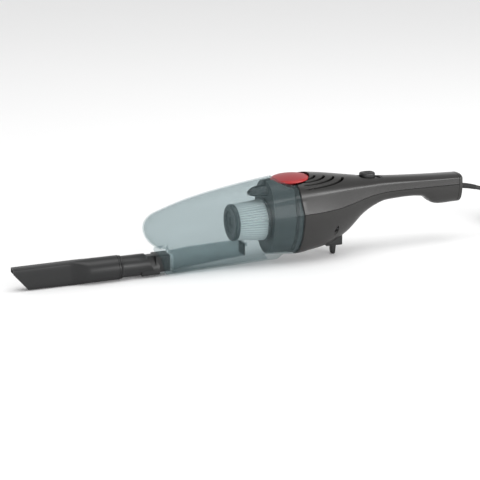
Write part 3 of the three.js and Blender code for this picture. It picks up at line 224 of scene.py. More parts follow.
# sheet stack or windings: bands across one direction
def banded(name, colour, gapColour, rough, pitch, across):
    material, graph = newMaterial(name)
    bands = graph.node("ShaderNodeTexWave", {"wave_type": "BANDS", "bands_direction": across},
                       {"Vector": graph.onPiece(), "Scale": pitch, "Distortion": 0.4, "Detail": 1.0})
    tone = graph.mixColour(bands ** 0.5, toned(gapColour, 1), toned(colour, 1))
    return surfaced(material, graph, tone, rough, graph.bump(bands, 0.6, 0.0002), {"Metallic": 1.0})


smokyLook = {"tint": (0.835, 0.868, 0.873), "body": fromHex("7f8f92"), "rough": 0.08, "haze": 0.05,
             "edge": 0.32}


# smoky clear plastic: tinted see-through with a glossy skin and a thin haze
def smokyPlastic(name, look):
    material, graph = newMaterial(name)
    cloudy = graph.noise(14, 3)
    flow = graph.noise(1.0, 2, graph.stretched((8, 60, 60)))
    bump = graph.bump(flow, 0.25, 0.0004)
    clear = graph.node("ShaderNodeBsdfTransparent", None, {
        "Color": graph.between(cloudy, look["tint"], 0.985, 1.015)})
    skin = graph.node("ShaderNodeBsdfPrincipled", None, {
        "Base Color": graph.between(flow, look["body"], 0.9, 1.1),
        "Roughness": look["rough"] + 0.05 * cloudy, "Specular IOR Level": 0.6, "Normal": bump})
    facing = graph.node("ShaderNodeLayerWeight", None, {"Blend": 0.3, "Normal": bump}, "Facing")
    return ended(material, graph, graph.node("ShaderNodeMixShader", None, {
        0: look["haze"] + look["edge"] * facing ** 2.5 + 0.03 * cloudy, 1: clear, 2: skin}))


# pleated paper: painted shade, the paper is darkened in the valleys between the folds where shade falls
def paperLook(name, colour, plan):
    material, graph = newMaterial(name)
    where = graph.node("ShaderNodeSeparateXYZ", None, {0: graph.onPiece()})
    across, up = (Link(graph, where.socket.node.outputs[axis]) for axis in "YZ")
    turn = graph.node("ShaderNodeMath", {"operation": "ARCTAN2"}, {0: across, 1: up - plan["axis"] / 1000})
    fold = graph.node("ShaderNodeMath", {"operation": "COSINE"}, {0: turn * float(plan["pleats"])})
    fibre = graph.noise(1.0, 4, graph.stretched((500, 2500, 2500)))
    grey = graph.noise(60, 3)
    plain = graph.between(0.5 * grey + 0.3 * fibre, colour, 1.04, 0.86)
    # painted shade: the paper colour at a quarter of its tone in the fold valleys, picked out by the angle round
    # the filter's axis
    paintedFoldShade = graph.mixColour(0.5, plain, toned(colour, 0.25))
    tone = graph.mixColour((0.5 + 0.5 * fold) ** 1.5, plain, paintedFoldShade)
    return surfaced(material, graph, tone, 0.92, graph.bump(fibre, 0.7, 0.00015), {"Specular IOR Level": 0.2})


# button: the middle is a paler, greyer red, a painted reflection of light from above, and the rim is the
# button's own deep red
def buttonLook(name, plan):
    material, graph = newMaterial(name)
    centred = graph.node("ShaderNodeMapping", None, {
        "Vector": graph.onPiece(), "Location": (-(plan["centre"] + seamX) / 1000, 0, 0), "Scale": (1, 1, 0)})
    reach = graph.node("ShaderNodeVectorMath", {"operation": "LENGTH"}, {0: centred}, "Value")
    onRim = graph.node("ShaderNodeMapRange", {"interpolation_type": "SMOOTHSTEP"}, {
        0: reach, 1: (plan["radius"] - 4.5) / 1000, 2: (plan["radius"] - 2.2) / 1000, 3: 0, 4: 1})
    broad = graph.noise(30, 3)
    # painted reflection: the paler face red stands in for light from above reflected on the middle; the rim red
    # is the button's own
    face, rim = (graph.between(broad, plan[part], 0.93, 1.07) for part in ("face", "rim"))
    return surfaced(material, graph, graph.mixColour(onRim, face, rim), 0.42 - 0.12 * onRim + 0.08 * broad,
                    graph.bump(graph.noise(1100, 2), 0.5, 0.00002))


# face colour: a paler red carrying a painted reflection of light from above; rim colour: the button's own red
button = {"centre": -5.6, "radius": 28, "rimBase": 119, "tilt": 0.06, "rimHeight": 2.6, "crown": 4.2,
          "stem": 9, "face": fromHex("8e1e25"), "rim": fromHex("9c0f14")}

pleatPlan = {"pleats": 44, "axis": 63.5, "fold": 3.4}

looks = {
    "smoky_clear": smokyPlastic("smokyClear", smokyLook),
    "housing_grey": moulded("housingPearl", fromHex("1f1e1d"), 0.32, 1300, 0.000012, 0.08, 0.12, 0.05,
                            fleck=0.25),
    "nozzle_black": moulded("satinBlack", fromHex("0c0d0e"), 0.4, 1000, 0.00003, 0.15),
    "button_red": buttonLook("buttonRed", button),
    "holder_grey": moulded("holderGrey", fromHex("3a3f40"), 0.5, 900, 0.00003, 0.12),
    "cap_grey": moulded("filterCapGrey", fromHex("3d4648"), 0.42, 900, 0.00002, 0.15),
    "filter_paper": paperLook("pleatedPaper", fromHex("f0f4f4"), pleatPlan),
    "soft_rubber": moulded("softRubber", fromHex("141414"), 0.7, 700, 0.00005, 0.2),
    "cord_black": moulded("cordSheath", fromHex("151515"), 0.5, 1200, 0.00003, 0.15),
    "steel": bareMetal("plainSteel", (0.56, 0.57, 0.58), 0.35),
    "dark_steel": bareMetal("darkSteel", (0.05, 0.05, 0.052), 0.45),
    "laminated_steel": banded("sheetStack", (0.42, 0.43, 0.45), (0.12, 0.12, 0.13), 0.45, 260, "X"),
    "copper": banded("copperWire", (0.78, 0.36, 0.16), (0.25, 0.08, 0.03), 0.35, 180, "DIAGONAL"),
    "brass": bareMetal("brightBrass", (0.78, 0.58, 0.27), 0.28, (500, 90, 90), 0.85),
    "carbon": moulded("brushCarbon", fromHex("26262a"), 0.65, 500, 0.00008, 0.25),
    "white_plastic": moulded("whiteShell", fromHex("d6d6d0"), 0.45, 900, 0.00003, 0.05),
}
slotOf = {part["node"]: part["material_slot"] for part in frame["record"]["subparts"]}
for nodeName, cadObject in frame["nodes"].items():
    cadObject.data.materials.clear()
    cadObject.data.materials.append(looks[slotOf[nodeName]])
print("finishes made:", len(looks))


# ---- mesh helpers
def newObject(name, points, faces):
    mesh = bpy.data.meshes.new(name)
    mesh.from_pydata([tuple(p) for p in points], [], faces)
    mesh.validate()
    return linked(bpy.data.objects.new(name, mesh))


def volumeOf(made):
    mesh = made.data
    mesh.calc_loop_triangles()
    total = 0.0
    for face in mesh.loop_triangles:
        a, b, c = (mesh.vertices[i].co for i in face.vertices)
        total += a.dot(b.cross(c))
    return total


def faceOutward(made):
    if volumeOf(made) < 0:
        made.data.flip_normals()
    return made


# skin over a row of closed loops of points
def skinned(name, loops):
    count = len(loops[0])
    points = [p for loop in loops for p in loop]
    faces = []
    for i in range(len(loops) - 1):
        for j in range(count):
            a, b = i * count + j, i * count + (j + 1) % count
            faces.append((a, b, b + count, a + count))
    for start, turn in ((0, -1), ((len(loops) - 1) * count, 1)):
        middle = sum((points[start + j] for j in range(count)), Vector()) / count
        points.append(middle)
        hub = len(points) - 1
        for j in range(count):
            a, b = start + j, start + (j + 1) % count
            faces.append((a, b, hub) if turn > 0 else (b, a, hub))
    return faceOutward(newObject(name, points, faces))


# turned piece about a line along X; outline is a closed list of (x, radius)
def turned(name, outline, axisZ, segments=72):
    points, faces, rows = [], [], []
    for x, radius in outline:
        if radius < 1e-6:
            points.append(place(x, 0, axisZ))
            rows.append([len(points) - 1] * segments)
        else:
            row = []
            for j in range(segments):
                angle = 2 * math.pi * j / segments
                points.append(place(x, radius * math.cos(angle), axisZ + radius * math.sin(angle)))
                row.append(len(points) - 1)
            rows.append(row)
    closed = outline[0][1] > 1e-6
    pairs = list(zip(rows, rows[1:])) + ([(rows[-1], rows[0])] if closed else [])
    for near, far in pairs:
        for j in range(segments):
            k = (j + 1) % segments
            face = [near[j], near[k], far[k], far[j]]
            face = [v for i, v in enumerate(face) if v not in face[:i]]
            if len(face) > 2:
                faces.append(face)
    return faceOutward(newObject(name, points, faces))


# two equal flat outlines, joined by a wall
def prism(name, first, second):
    count = len(first)
    faces = [tuple(range(count)), tuple(range(2 * count - 1, count - 1, -1))]
    faces += [((j + 1) % count, j, count + j, count + (j + 1) % count) for j in range(count)]
    return faceOutward(newObject(name, first + second, faces))


# flat outline in the side view, given thickness across Y
def sidePlate(name, outline, halfWidth):
    return prism(name, *([place(x, side * halfWidth, z) for x, z in outline] for side in (-1, 1)))


# outline of (x, value) points measured from start
def fromX(start, outline):
    return [(start + x, value) for x, value in outline]


# one outline of (y, x) points at several heights
def stacked(name, section, heights):
    return skinned(name, [[place(x, y, z) for y, x in section] for z in heights])


# solid rod along X
def rod(name, start, end, radius, axisZ, segments=72):
    return turned(name, [(start, 0), (start, radius), (end, radius), (end, 0)], axisZ, segments)


def boxOf(name, x0, x1, y0, y1, z0, z1):
    loops = [[place(x, y, z) for y, z in ((y0, z0), (y1, z0), (y1, z1), (y0, z1))] for x in (x0, x1)]
    return skinned(name, loops)


# upright turned piece; outline is a closed list of (radius, z)
def standing(name, outline, x, y, segments=48):
    made = turned(name, [(z, radius) for radius, z in outline], 0, segments)
    for vertex in made.data.vertices:
        along, across, up = vertex.co.x * 1000 - seamX, vertex.co.y * 1000, vertex.co.z * 1000
        vertex.co = place(x + up, y + across, along)
    return faceOutward(made)


def settled(made):
    graph = bpy.context.evaluated_depsgraph_get()
    graph.update()
    mesh = bpy.data.meshes.new_from_object(made.evaluated_get(graph), depsgraph=graph)
    made.modifiers.clear()
    old = made.data
    made.data = mesh
    mesh.name = made.name
    bpy.data.meshes.remove(old)
    return made


# cuts, joins or keeps one solid with others; the others are used up
def worked(made, operation, *tools):
    for tool in tools:
        step = made.modifiers.new("step", "BOOLEAN")
        step.operation, step.solver, step.object = operation, "MANIFOLD", tool
        settled(made)
        bpy.data.objects.remove(tool)
    return made


def bevelled(made, width, segments=3, angle=30):
    step = made.modifiers.new("edge", "BEVEL")
    step.width, step.segments, step.limit_method = width / 1000, segments, "ANGLE"
    step.angle_limit = math.radians(angle)
    step.use_clamp_overlap = True
    return settled(made)


def dress(made, slotName, body, *stoodFor, sharp=30):
    made.data.materials.clear()
    made.data.materials.append(looks[slotName])
    for face in made.data.polygons:
        face.use_smooth = True
        face.material_index = 0
    made.data.set_sharp_from_angle(angle=math.radians(sharp))
    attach(made, body)
    if stoodFor:
        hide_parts(*stoodFor)
    return made


# a smooth line through (x, value) points
def through(points):
    last = len(points) - 1

    def valueAt(x):
        if x <= points[0][0]:
            return points[0][1]
        if x >= points[last][0]:
            return points[last][1]
        i = next(k for k, point in enumerate(points) if point[0] > x) - 1

        def slope(k):
            a, b = points[max(k - 1, 0)], points[min(k + 1, last)]
            return (b[1] - a[1]) / (b[0] - a[0])
        span = points[i + 1][0] - points[i][0]
        t = (x - points[i][0]) / span
        return ((2 * t ** 3 - 3 * t * t + 1) * points[i][1] + (t ** 3 - 2 * t * t + t) * span * slope(i)
                + (3 * t * t - 2 * t ** 3) * points[i + 1][1] + (t ** 3 - t * t) * span * slope(i + 1))
    return valueAt


def smoothStep(x, low, high):
    t = min(1.0, max(0.0, (x - low) / (high - low)))
    return t * t * (3 - 2 * t)


def blended(a, b, share):
    return a + (b - a) * share


# ---- body outline: cup, motor bay, sweep and handle
body = {"cupLength": 226, "bayLength": 83, "sweepLength": 65, "handleLength": 118, "ringTop": 127.7,
        "ringBottom": 8, "ringHalfWidth": 43, "handleHalfWidth": 16.5, "noseHeight": 67, "noseRound": 24,
        "seamLean": 9, "seamBend": 74, "seamRise": 58, "upperCreaseShare": 0.9, "cupWall": 2.0,
        "housingWall": 2.4, "arcSteps": 15}
handleStart = body["bayLength"] + body["sweepLength"]
housingLength = handleStart + body["handleLength"]


def onCup(share):
    return -share * body["cupLength"]


def onSweep(share):
    return body["bayLength"] + share * body["sweepLength"]


def onHandle(share):
    return handleStart + share * body["handleLength"]


bay, ring = body["bayLength"], body["ringHalfWidth"]
topLine = through([
    (onCup(1), 86.5), (onCup(0.91), 89.5), (onCup(0.81), 97), (onCup(0.68), 105.5), (onCup(0.42), 117),
    (onCup(0.15), body["ringTop"] - 2), (0, body["ringTop"]), (0.45 * bay, body["ringTop"] - 2.9), (bay, 118),
    (onSweep(0.4), 114), (onSweep(1), 110.3), (onHandle(0.5), 106.8), (onHandle(1), 104.5)])
bottomLine = through([
    (onCup(1), 42), (onCup(0.91), 37.5), (onCup(0.81), 29.5), (onCup(0.67), 18.5), (onCup(0.44), 13.5),
    (0, body["ringBottom"]), (0.3 * bay, 11), (0.62 * bay, 16.5), (bay, 32),
    (onSweep(0.4), 57.5), (onSweep(0.75), 71), (onSweep(1), 75.3), (onHandle(0.5), 75),
    (onHandle(0.66), 63), (onHandle(0.76), 60.5), (onHandle(1), 61)])
widthLine = through([
    (onCup(1), 28), (onCup(0.91), 29.5), (onCup(0.81), 32.5), (onCup(0.66), 36), (onCup(0.44), 39.8),
    (onCup(0.2), 42.3), (0, ring), (0.3 * bay, 0.985 * ring), (0.6 * bay, 39),
    (bay, 31), (onSweep(0.4), 24.5), (onSweep(1), 18), (onHandle(0.35), body["handleHalfWidth"]),
    (onHandle(1), body["handleHalfWidth"])])
partingLine = through([
    (onCup(1), 69), (onCup(0.66), 72.5), (0, 75.2), (0.7 * bay, 77.8), (bay, 81.5),
    (onSweep(0.5), 87.4), (onSweep(1), 89.8), (onHandle(1), 89.8)])
creaseLine = through([
    (onCup(1), 72), (onCup(0.9), 73.5), (onCup(0.72), 79), (onCup(0.44), 85.5), (onCup(0.2), 90),
    (0, 94.3), (0.5 * bay, 97.8), (bay, 99), (onSweep(1), 98.8), (onHandle(1), 97.8)])


def signedPower(base, share):
    return math.copysign(abs(base) ** share, base)


# one section of the body as (y, z) points round from the top, moved inwards by inset
def bodySection(x, inset=0.0):
    u = (x + body["cupLength"]) / body["noseRound"]
    share = 1 if u >= 1 else math.sqrt(max(0, 1 - (1 - u) ** 2))
    nose = body["noseHeight"]
    top, bottom, crease, parting = (nose + (line(x) - nose) * share
                                    for line in (topLine, bottomLine, creaseLine, partingLine))
    halfWidth = widthLine(x) * share
    toHandle = smoothStep(x, bay, handleStart)
    upperPower, lowerPower = 1 - 0.14 * toHandle, 1 - 0.3 * toHandle
    creaseWidth = halfWidth * (body["upperCreaseShare"] + 0.04 * toHandle)
    half, steps = [], body["arcSteps"]
    for i in range(steps + 1):
        angle = i / steps * math.pi / 2
        half.append([creaseWidth * signedPower(math.sin(angle), upperPower),
                     crease + (top - crease) * signedPower(math.cos(angle), upperPower)])
    for i in range(steps + 1):
        angle = i / steps * math.pi / 2
        half.append([halfWidth * signedPower(math.cos(angle), lowerPower),
                     parting - (parting - bottom) * signedPower(math.sin(angle), lowerPower)])
    half[0][0] = half[-1][0] = 0
    section = half + [[-y, z] for y, z in reversed(half[1:-1])]
    return insetSection(section, inset) if inset else section


def insetSection(section, wall):
    count, moved = len(section), []
    for i, (y, z) in enumerate(section):
        before = Vector((y - section[i - 1][0], z - section[i - 1][1])).normalized()
        following = section[(i + 1) % count]
        after = Vector((following[0] - y, following[1] - z)).normalized()
        normal = Vector((before.y + after.y, -before.x - after.x)).normalized()
        reach = wall / max(0.5, normal.dot(Vector((before.y, -before.x))))
        moved.append([y + normal.x * reach, z + normal.y * reach])
    return moved


def loopAt(x, section):
    return [place(x, y, z) for y, z in section]


def stationsBetween(start, end, count):
    return [start + (end - start) * i / count for i in range(count + 1)]


noseEnd = -body["cupLength"] + body["noseRound"]
noseStations = [-body["cupLength"] + body["noseRound"] * (1 - math.cos(a * math.pi / 2)) + 0.02
                for a in (0, 0.06, 0.12, 0.2, 0.28, 0.36, 0.45, 0.55, 0.65, 0.76, 0.88, 1)]
cupStations = noseStations + stationsBetween(noseEnd, 0, 22)[1:]
housingStations = (stationsBetween(0, bay, 14) + stationsBetween(bay, handleStart, 12)[1:]
                   + stationsBetween(handleStart, housingLength, 24)[1:])


def podForm(name, wall=0.0):
    stations = cupStations + [4 if wall == 0 else 12]
    middle = (body["ringTop"] + body["ringBottom"]) / 2
    scaleX = 1 - wall / body["cupLength"]
    scaleY = 1 - wall / ring
    scaleZ = 1 - 2 * wall / (body["ringTop"] - body["ringBottom"])
    return skinned(name, [loopAt(
        x if x > 0 else x * scaleX,
        [(y * scaleY, middle + (z - middle) * scaleZ) for y, z in bodySection(min(x, 0))]) for x in stations])


def housingForm(name, inset, start, end):
    stations = [start] + [x for x in housingStations if start + 1 < x < end - 1] + [end]
    return skinned(name, [loopAt(x, bodySection(min(max(x, 0), housingLength), inset)) for x in stations])


# side view of the seam: upright below, leaning forward above the parting line
def seamAt(z):
    return -body["seamLean"] * min(1, max(0, (z - body["seamBend"]) / body["seamRise"]))


seamHeights = [-20, body["seamBend"], body["seamBend"] + body["seamRise"], 150]


def besideSeam(name, shift, reach):
    return sidePlate(name, [(seamAt(z) + shift, z) for z in seamHeights] + [(reach, 150), (reach, -20)], 80)


def aboveParting(name, shift):
    stations = [-30] + housingStations + [housingLength + 40]
    return sidePlate(name, [(x, partingLine(x) + shift) for x in stations]
                     + [(housingLength + 40, 200), (-30, 200)], 80)


def roundedBox(halfWidth, bottom, top, corner, steps=5):
    section, middle, halfHeight = [], (bottom + top) / 2, (top - bottom) / 2
    for sideY, sideZ, start in ((1, 1, 0), (-1, 1, 90), (-1, -1, 180), (1, -1, 270)):
        for i in range(steps + 1):
            angle = math.radians(start + 90 * i / steps)
            section.append((sideY * (halfWidth - corner) + corner * math.cos(angle),
                            middle + sideZ * (halfHeight - corner) + corner * math.sin(angle)))
    return section


def superOval(halfWidth, halfHeight, middle, power, count=48):
    return [(halfWidth * signedPower(math.cos(2 * math.pi * (i + 0.5) / count), power),
             middle + halfHeight * signedPower(math.sin(2 * math.pi * (i + 0.5) / count), power))
            for i in range(count)]


def upright(name, x, y, z0, z1, radius, segments=64):
    return standing(name, [(0, z0), (radius, z0), (radius, z1), (0, z1)], x, y, segments)


# ---- strain relief, cord in its coil, tie and plug
cord = {"diameter": 6.4, "coilRadius": 40, "columns": 4, "rows": 5, "coilBase": 1.3,
        "coilX": housingLength + 152, "reliefLength": 42, "reliefStart": housingLength - 3.7, "exitZ": 84,
        "perTurn": 28}
cordR = cord["diameter"] / 2
coilHalf = cord["columns"] * cordR
coilY = cord["coilRadius"] + coilHalf - cordR


def reliefPoint(share):
    bend = 0.28 * share
    return Vector((cord["reliefStart"] + cord["reliefLength"] * share, 0, cord["exitZ"] - 21 * bend * share))


def makeRelief():
    loops, steps = [], 42
    for i in range(steps + 1):
        share = i / steps
        here = reliefPoint(share)
        onward = (reliefPoint(share + 0.01) - reliefPoint(share - 0.01)).normalized()
        up = Vector((-onward.z, 0, onward.x))
        radius = blended(4.6, 3.6, share)
        if share > 0.98:
            radius -= 0.25
        loops.append([place(*(here + Vector((0, radius * math.cos(a), 0)) + up * radius * math.sin(a)))
                      for a in (2 * math.pi * j / 32 for j in range(32))])
    return skinned("strainRelief", loops)


def coilRoute():
    columns, rows, perTurn = cord["columns"], cord["rows"], cord["perTurn"]
    points = []
    for turn in range(columns * rows):
        layer, step = divmod(turn, columns)
        column = columns - 1 - step if layer % 2 == 0 else step
        following = column + (-1 if layer % 2 == 0 else 1)
        last = turn == columns * rows - 1
        for k in range(perTurn if not last else int(perTurn * 0.95)):
            share = k / perTurn
            height, shift = layer, column
            if step < columns - 1:
                shift = column + (following - column) * smoothStep(share, 0.78, 1.0)
            elif layer < rows - 1:
                height = layer + smoothStep(share, 0.55, 0.8)
            angle = -math.pi / 2 + 2 * math.pi * share
            radius = cord["coilRadius"] - coilHalf + cordR + shift * cord["diameter"]
            rise = 0.0 if not last else 6.7 * smoothStep(share, 0.8, 0.95)
            points.append((cord["coilX"] + radius * math.cos(angle), coilY + radius * math.sin(angle),
                           cord["coilBase"] + cordR + height * cord["diameter"] + rise))
    return points


plug = {"rear": cord["coilX"] + 18, "length": 38, "width": 34, "thickness": 17, "pinLength": 19,
        "pinRadius": 2.4, "pinSpread": 9.5, "bend": 26}
plugY = coilY - cord["coilRadius"] - coilHalf - plug["width"] / 2 - 9


def tailRoute():
    over = cord["coilBase"] + cord["rows"] * cord["diameter"] + cordR + 0.3
    inner = cord["coilRadius"] - coilHalf + cordR
    points = [(cord["coilX"] + 0.26 * inner, coilY - 0.966 * inner, over),
              (cord["coilX"] + 0.26 * inner + 5.8, coilY - 0.966 * inner + 1.6, over)]
    for degrees, fall in ((85, 0), (65, 0), (45, 0), (33, 0), (18, 0.1), (0, 0.4), (-25, 0.75), (-50, 0.95),
                          (-75, 1)):
        angle = math.radians(degrees)
        points.append((plug["rear"] + 2.4 + plug["bend"] * math.cos(angle),
                       plugY + plug["bend"] * (1 + math.sin(angle)),
                       blended(over, plug["thickness"] / 2, fall)))
    return points + [(plug["rear"] - 4, plugY, plug["thickness"] / 2)]


leadRoute = [(cord["coilX"] + x, 0, cord["exitZ"]) for x in (-168, -162)]
leadRoute += [tuple(reliefPoint(i / 6)) for i in range(7)]
leadRoute += [(cord["coilX"] + x, 0, z) for x, z in (
    (-96, 73.5), (-84, 64), (-75, 50), (-68, 35), (-60, 20), (-50, 9), (-38, 4.9), (-27, 4.5), (-14, 4.5))]


def makeCord():
    route = [place(*p) for p in leadRoute + coilRoute() + tailRoute()]
    data = bpy.data.curves.new("mainsCord", "CURVE")
    data.dimensions = "3D"
    data.bevel_depth, data.bevel_resolution, data.use_fill_caps = cordR / 1000, 4, True
    line = data.splines.new("NURBS")
    line.points.add(len(route) - 1)
    for point, where in zip(line.points, route):
        point.co = (*where, 1)
    line.order_u, line.use_endpoint_u, line.resolution_u = 3, True, 2
    made = linked(bpy.data.objects.new("mainsCord", data))
    data.materials.append(looks["cord_black"])
    length = sum((b - a).length for a, b in zip(route, route[1:]))
    return made, length


mainsCord, cordLength = makeCord()
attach(mainsCord, "root")
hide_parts("cord_lead", "cord_coil", "cord_tail")
dress(makeRelief(), "soft_rubber", "root", "cord_strain_relief", sharp=40)


def makeTie():
    reach, base = coilHalf + 1.5, cord["coilBase"] - 0.3
    top = cord["coilBase"] + cord["rows"] * cord["diameter"] + 0.3
    loops = []
    for extra, order in ((1.0, (-7, -6.5, 6.5, 7)), (0.0, (7, -7))):
        for x in order:
            e = extra - (0.3 if extra and abs(x) == 7 else 0)
            section = roundedBox(reach + e, base - e, top + e, cordR + 0.2 + e)
            loops.append([place(cord["coilX"] + x, coilY + cord["coilRadius"] + y, z) for y, z in section])
    loops.append(loops[0])
    count = len(loops[0])
    points = [p for loop in loops[:-1] for p in loop]
    rounds = len(loops) - 1
    faces = [(i * count + j, i * count + (j + 1) % count, (i + 1) % rounds * count + (j + 1) % count,
              (i + 1) % rounds * count + j) for i in range(rounds) for j in range(count)]
    return faceOutward(newObject("cordTie", points, faces))


def makePlug():
    rear, front, w, t = plug["rear"], plug["rear"] - plug["length"], plug["width"] / 2, plug["thickness"] / 2
    rows = [(rear, 4.0, 4.0), (rear - 0.8, 4.5, 4.5), (rear - 4, 4.9, 4.8), (rear - 9, 5.8, 5.3),
            (rear - 11.5, 8.2, 6.0), (rear - 14, 0.7 * w, 0.8 * t), (rear - 17, 0.9 * w, 0.94 * t),
            (rear - 20, w, t), (rear - 25, w, t), (front + 4, w, t), (front + 1.5, 0.98 * w, 0.96 * t),
            (front + 0.4, 0.95 * w, 0.91 * t), (front, 0.91 * w, 0.85 * t)]
    return skinned("plugBody", [[place(x, plugY + y, z) for y, z in superOval(hw, ht, t, 0.72, 56)]
                                for x, hw, ht in rows])


def makePin(name, side):
    start, r = plug["rear"] - plug["length"] + 1, plug["pinRadius"]
    tip = start - 1.3 - plug["pinLength"]
    outline = fromX(tip, [(0, 0), (0, r - 1.0), (0.4, r - 0.45), (1.2, r)]) + [(start, r), (start, 0)]
    pin = turned(name, outline, plug["thickness"] / 2, 40)
    pin.data.transform(Matrix.Translation((0, (plugY + side * plug["pinSpread"]) / 1000, 0)))
    return pin


cordTie = dress(makeTie(), "soft_rubber", "root", "cord_tie", sharp=40)
plugBody = dress(makePlug(), "cord_black", "root", "plug_body", sharp=30)
pinNear = dress(makePin("plugPinNear", -1), "brass", "root", "plug_pin_near")
pinFar = dress(makePin("plugPinFar", 1), "brass", "root", "plug_pin_far")
tuple(place(housingLength + 6.8, 0, cord["exitZ"]))
print("cord made, metres:", round(cordLength, 3))


# ---- dust cup
inlet = {"axis": 17, "neckHalfWidth": 13.5, "neckBottom": 3.4, "neckTop": 29.5, "keelHalfWidth": 17,
         "keelBottom": 2.7, "spigotLength": 15, "neckLength": 19, "tubeLength": 38, "socketDepth": 27,
         "tubeRadius": 15.25, "tubeWall": 2.2, "mouthSlant": 8, "play": 0.3}
mouthFront = onCup(0.915)
ductStart = mouthFront + inlet["spigotLength"] + 5
spigotHalfWidth = inlet["neckHalfWidth"] - 1.2
spigotBottom, spigotTop = inlet["keelBottom"] + 3.2, inlet["neckTop"] + 0.5


def spigotSection(extra):
    return roundedBox(spigotHalfWidth + extra, spigotBottom - extra, spigotTop + extra, 2.5 + extra)


wellRadius = button["radius"] + 0.6


def makeDustCup():
    wall = body["cupWall"]
    keel = sidePlate("keel", [
        (mouthFront, spigotTop + 5), (mouthFront, spigotTop + 1.5),
        (mouthFront + inlet["mouthSlant"], inlet["keelBottom"]), (-30, body["ringBottom"] - 1.2),
        (-20, body["ringBottom"] + 6), (onCup(0.5), 24), (onCup(0.8), 38)], inlet["keelHalfWidth"])
    bevelled(keel, 1.5, 3, 50)
    trough = sidePlate("trough", [
        (ductStart - 2, spigotTop + 3), (ductStart - 2, inlet["keelBottom"] + wall),
        (-45, body["ringBottom"] + 0.6), (-60, 30), (onCup(0.6), 34), (onCup(0.8), 42)],
        inlet["keelHalfWidth"] - wall)
    mouth = skinned("mouth", [loopAt(x, spigotSection(inlet["play"])) for x in (mouthFront - 20, ductStart)])
    notch = upright("notch", button["centre"], 0, 95, 150, wellRadius)
    notchWay = boxOf("notchWay", button["centre"], 20, -wellRadius, wellRadius, 100, 150)
    cup = worked(podForm("dustCup"), "UNION", keel)
    worked(cup, "INTERSECT", besideSeam("front", -0.15, -300))
    return worked(cup, "DIFFERENCE", podForm("hollow", wall), trough, mouth, notch, notchWay)


dress(makeDustCup(), "smoky_clear", "cup", "dust_cup", sharp=9)
print("dust cup made")


# ---- holder for the filter, with the boss under the button
holder = {"plate": -44, "plateThickness": 2.6, "collarInset": 3.6, "collarWall": 2, "rear": 8,
          "boreRadius": 20.2, "wellFloor": 102, "latchHalfWidth": 4.4}


def makeHolder():
    front, inset, rear = holder["plate"], holder["collarInset"], holder["rear"]
    rows = stationsBetween(front, 0, 8)
    outer = skinned("filterHolder", [loopAt(x, bodySection(min(x, 0), inset)) for x in rows + [rear]])
    hollow = skinned("hollow", [loopAt(front + holder["plateThickness"],
                                       bodySection(front, inset + holder["collarWall"]))]
                     + [loopAt(x, bodySection(min(x, 0), inset + holder["collarWall"]))
                        for x in rows[1:] + [rear + 5]])
    worked(outer, "DIFFERENCE", hollow)
    shelf = boxOf("shelf", front, rear, -ring, ring, holder["wellFloor"] - 2.5, holder["wellFloor"])
    within = skinned("within", [loopAt(x, bodySection(min(x, 0), inset)) for x in rows + [rear]])
    worked(shelf, "INTERSECT", within)
    beak = skinned("beak", [loopAt(front + dx, superOval(w, h, z, 0.7)) for dx, w, h, z in (
        (-26, 2.5, 1.5, 104), (-25, 4.5, 2.6, 104), (-22, 7, 4.2, 104.6), (-17, 9.5, 5.8, 105.5),
        (-10, 11.4, 6.8, 106), (-3, 12, 7.3, 106.4), (2, 12, 7.3, 106.4))])
    worked(outer, "UNION", shelf, beak)
    airHole = rod("airHole", front - 20, front + 10, holder["boreRadius"], pleatPlan["axis"])
    well = upright("well", button["centre"], 0, holder["wellFloor"], 160, wellRadius)
    latchWay = boxOf("latchWay", front - 30, front + 14, -holder["latchHalfWidth"], holder["latchHalfWidth"],
                     holder["wellFloor"] + 0.6, 130)
    return worked(outer, "DIFFERENCE", airHole, well, latchWay)


dress(makeHolder(), "holder_grey", "root", "bulkhead", sharp=22)
print("filter holder made")


# ---- pleated filter: frame, folds and front cap
filterPlan = {"length": 47, "capRadius": 26.2, "baseRadius": 30, "coreRadius": 19, "capDepth": 6.5,
              "frameWall": 1.8, "window": (24, 4.5)}
flangeFront = holder["plate"] - 4.6
pleatFront = holder["plate"] - filterPlan["length"]


# an empty node group that takes the named values; kinds gives those that aren't plain numbers
def newTree(name, labels, **kinds):
    tree = bpy.data.node_groups.new(name, "GeometryNodeTree")
    ids = {}
    for label in labels:
        kind = "NodeSocket" + kinds.get(label, "Float")
        ids[label] = tree.interface.new_socket(label, in_out="INPUT", socket_type=kind).identifier
    tree.interface.new_socket("Geometry", in_out="OUTPUT", socket_type="NodeSocketGeometry")
    graph = Graph(tree)
    given = tree.nodes.new("NodeGroupInput")
    return graph, ids, {s.name: Link(graph, s) for s in given.outputs if s.name}


def endTree(graph, geometry, material):
    whole = graph.node("GeometryNodeRealizeInstances", None, {"Geometry": geometry})
    dressed = graph.node("GeometryNodeSetMaterial", None, {"Geometry": whole, "Material": material})
    graph.feed(graph.tree.nodes.new("NodeGroupOutput").inputs[0], dressed)
    return graph.tree


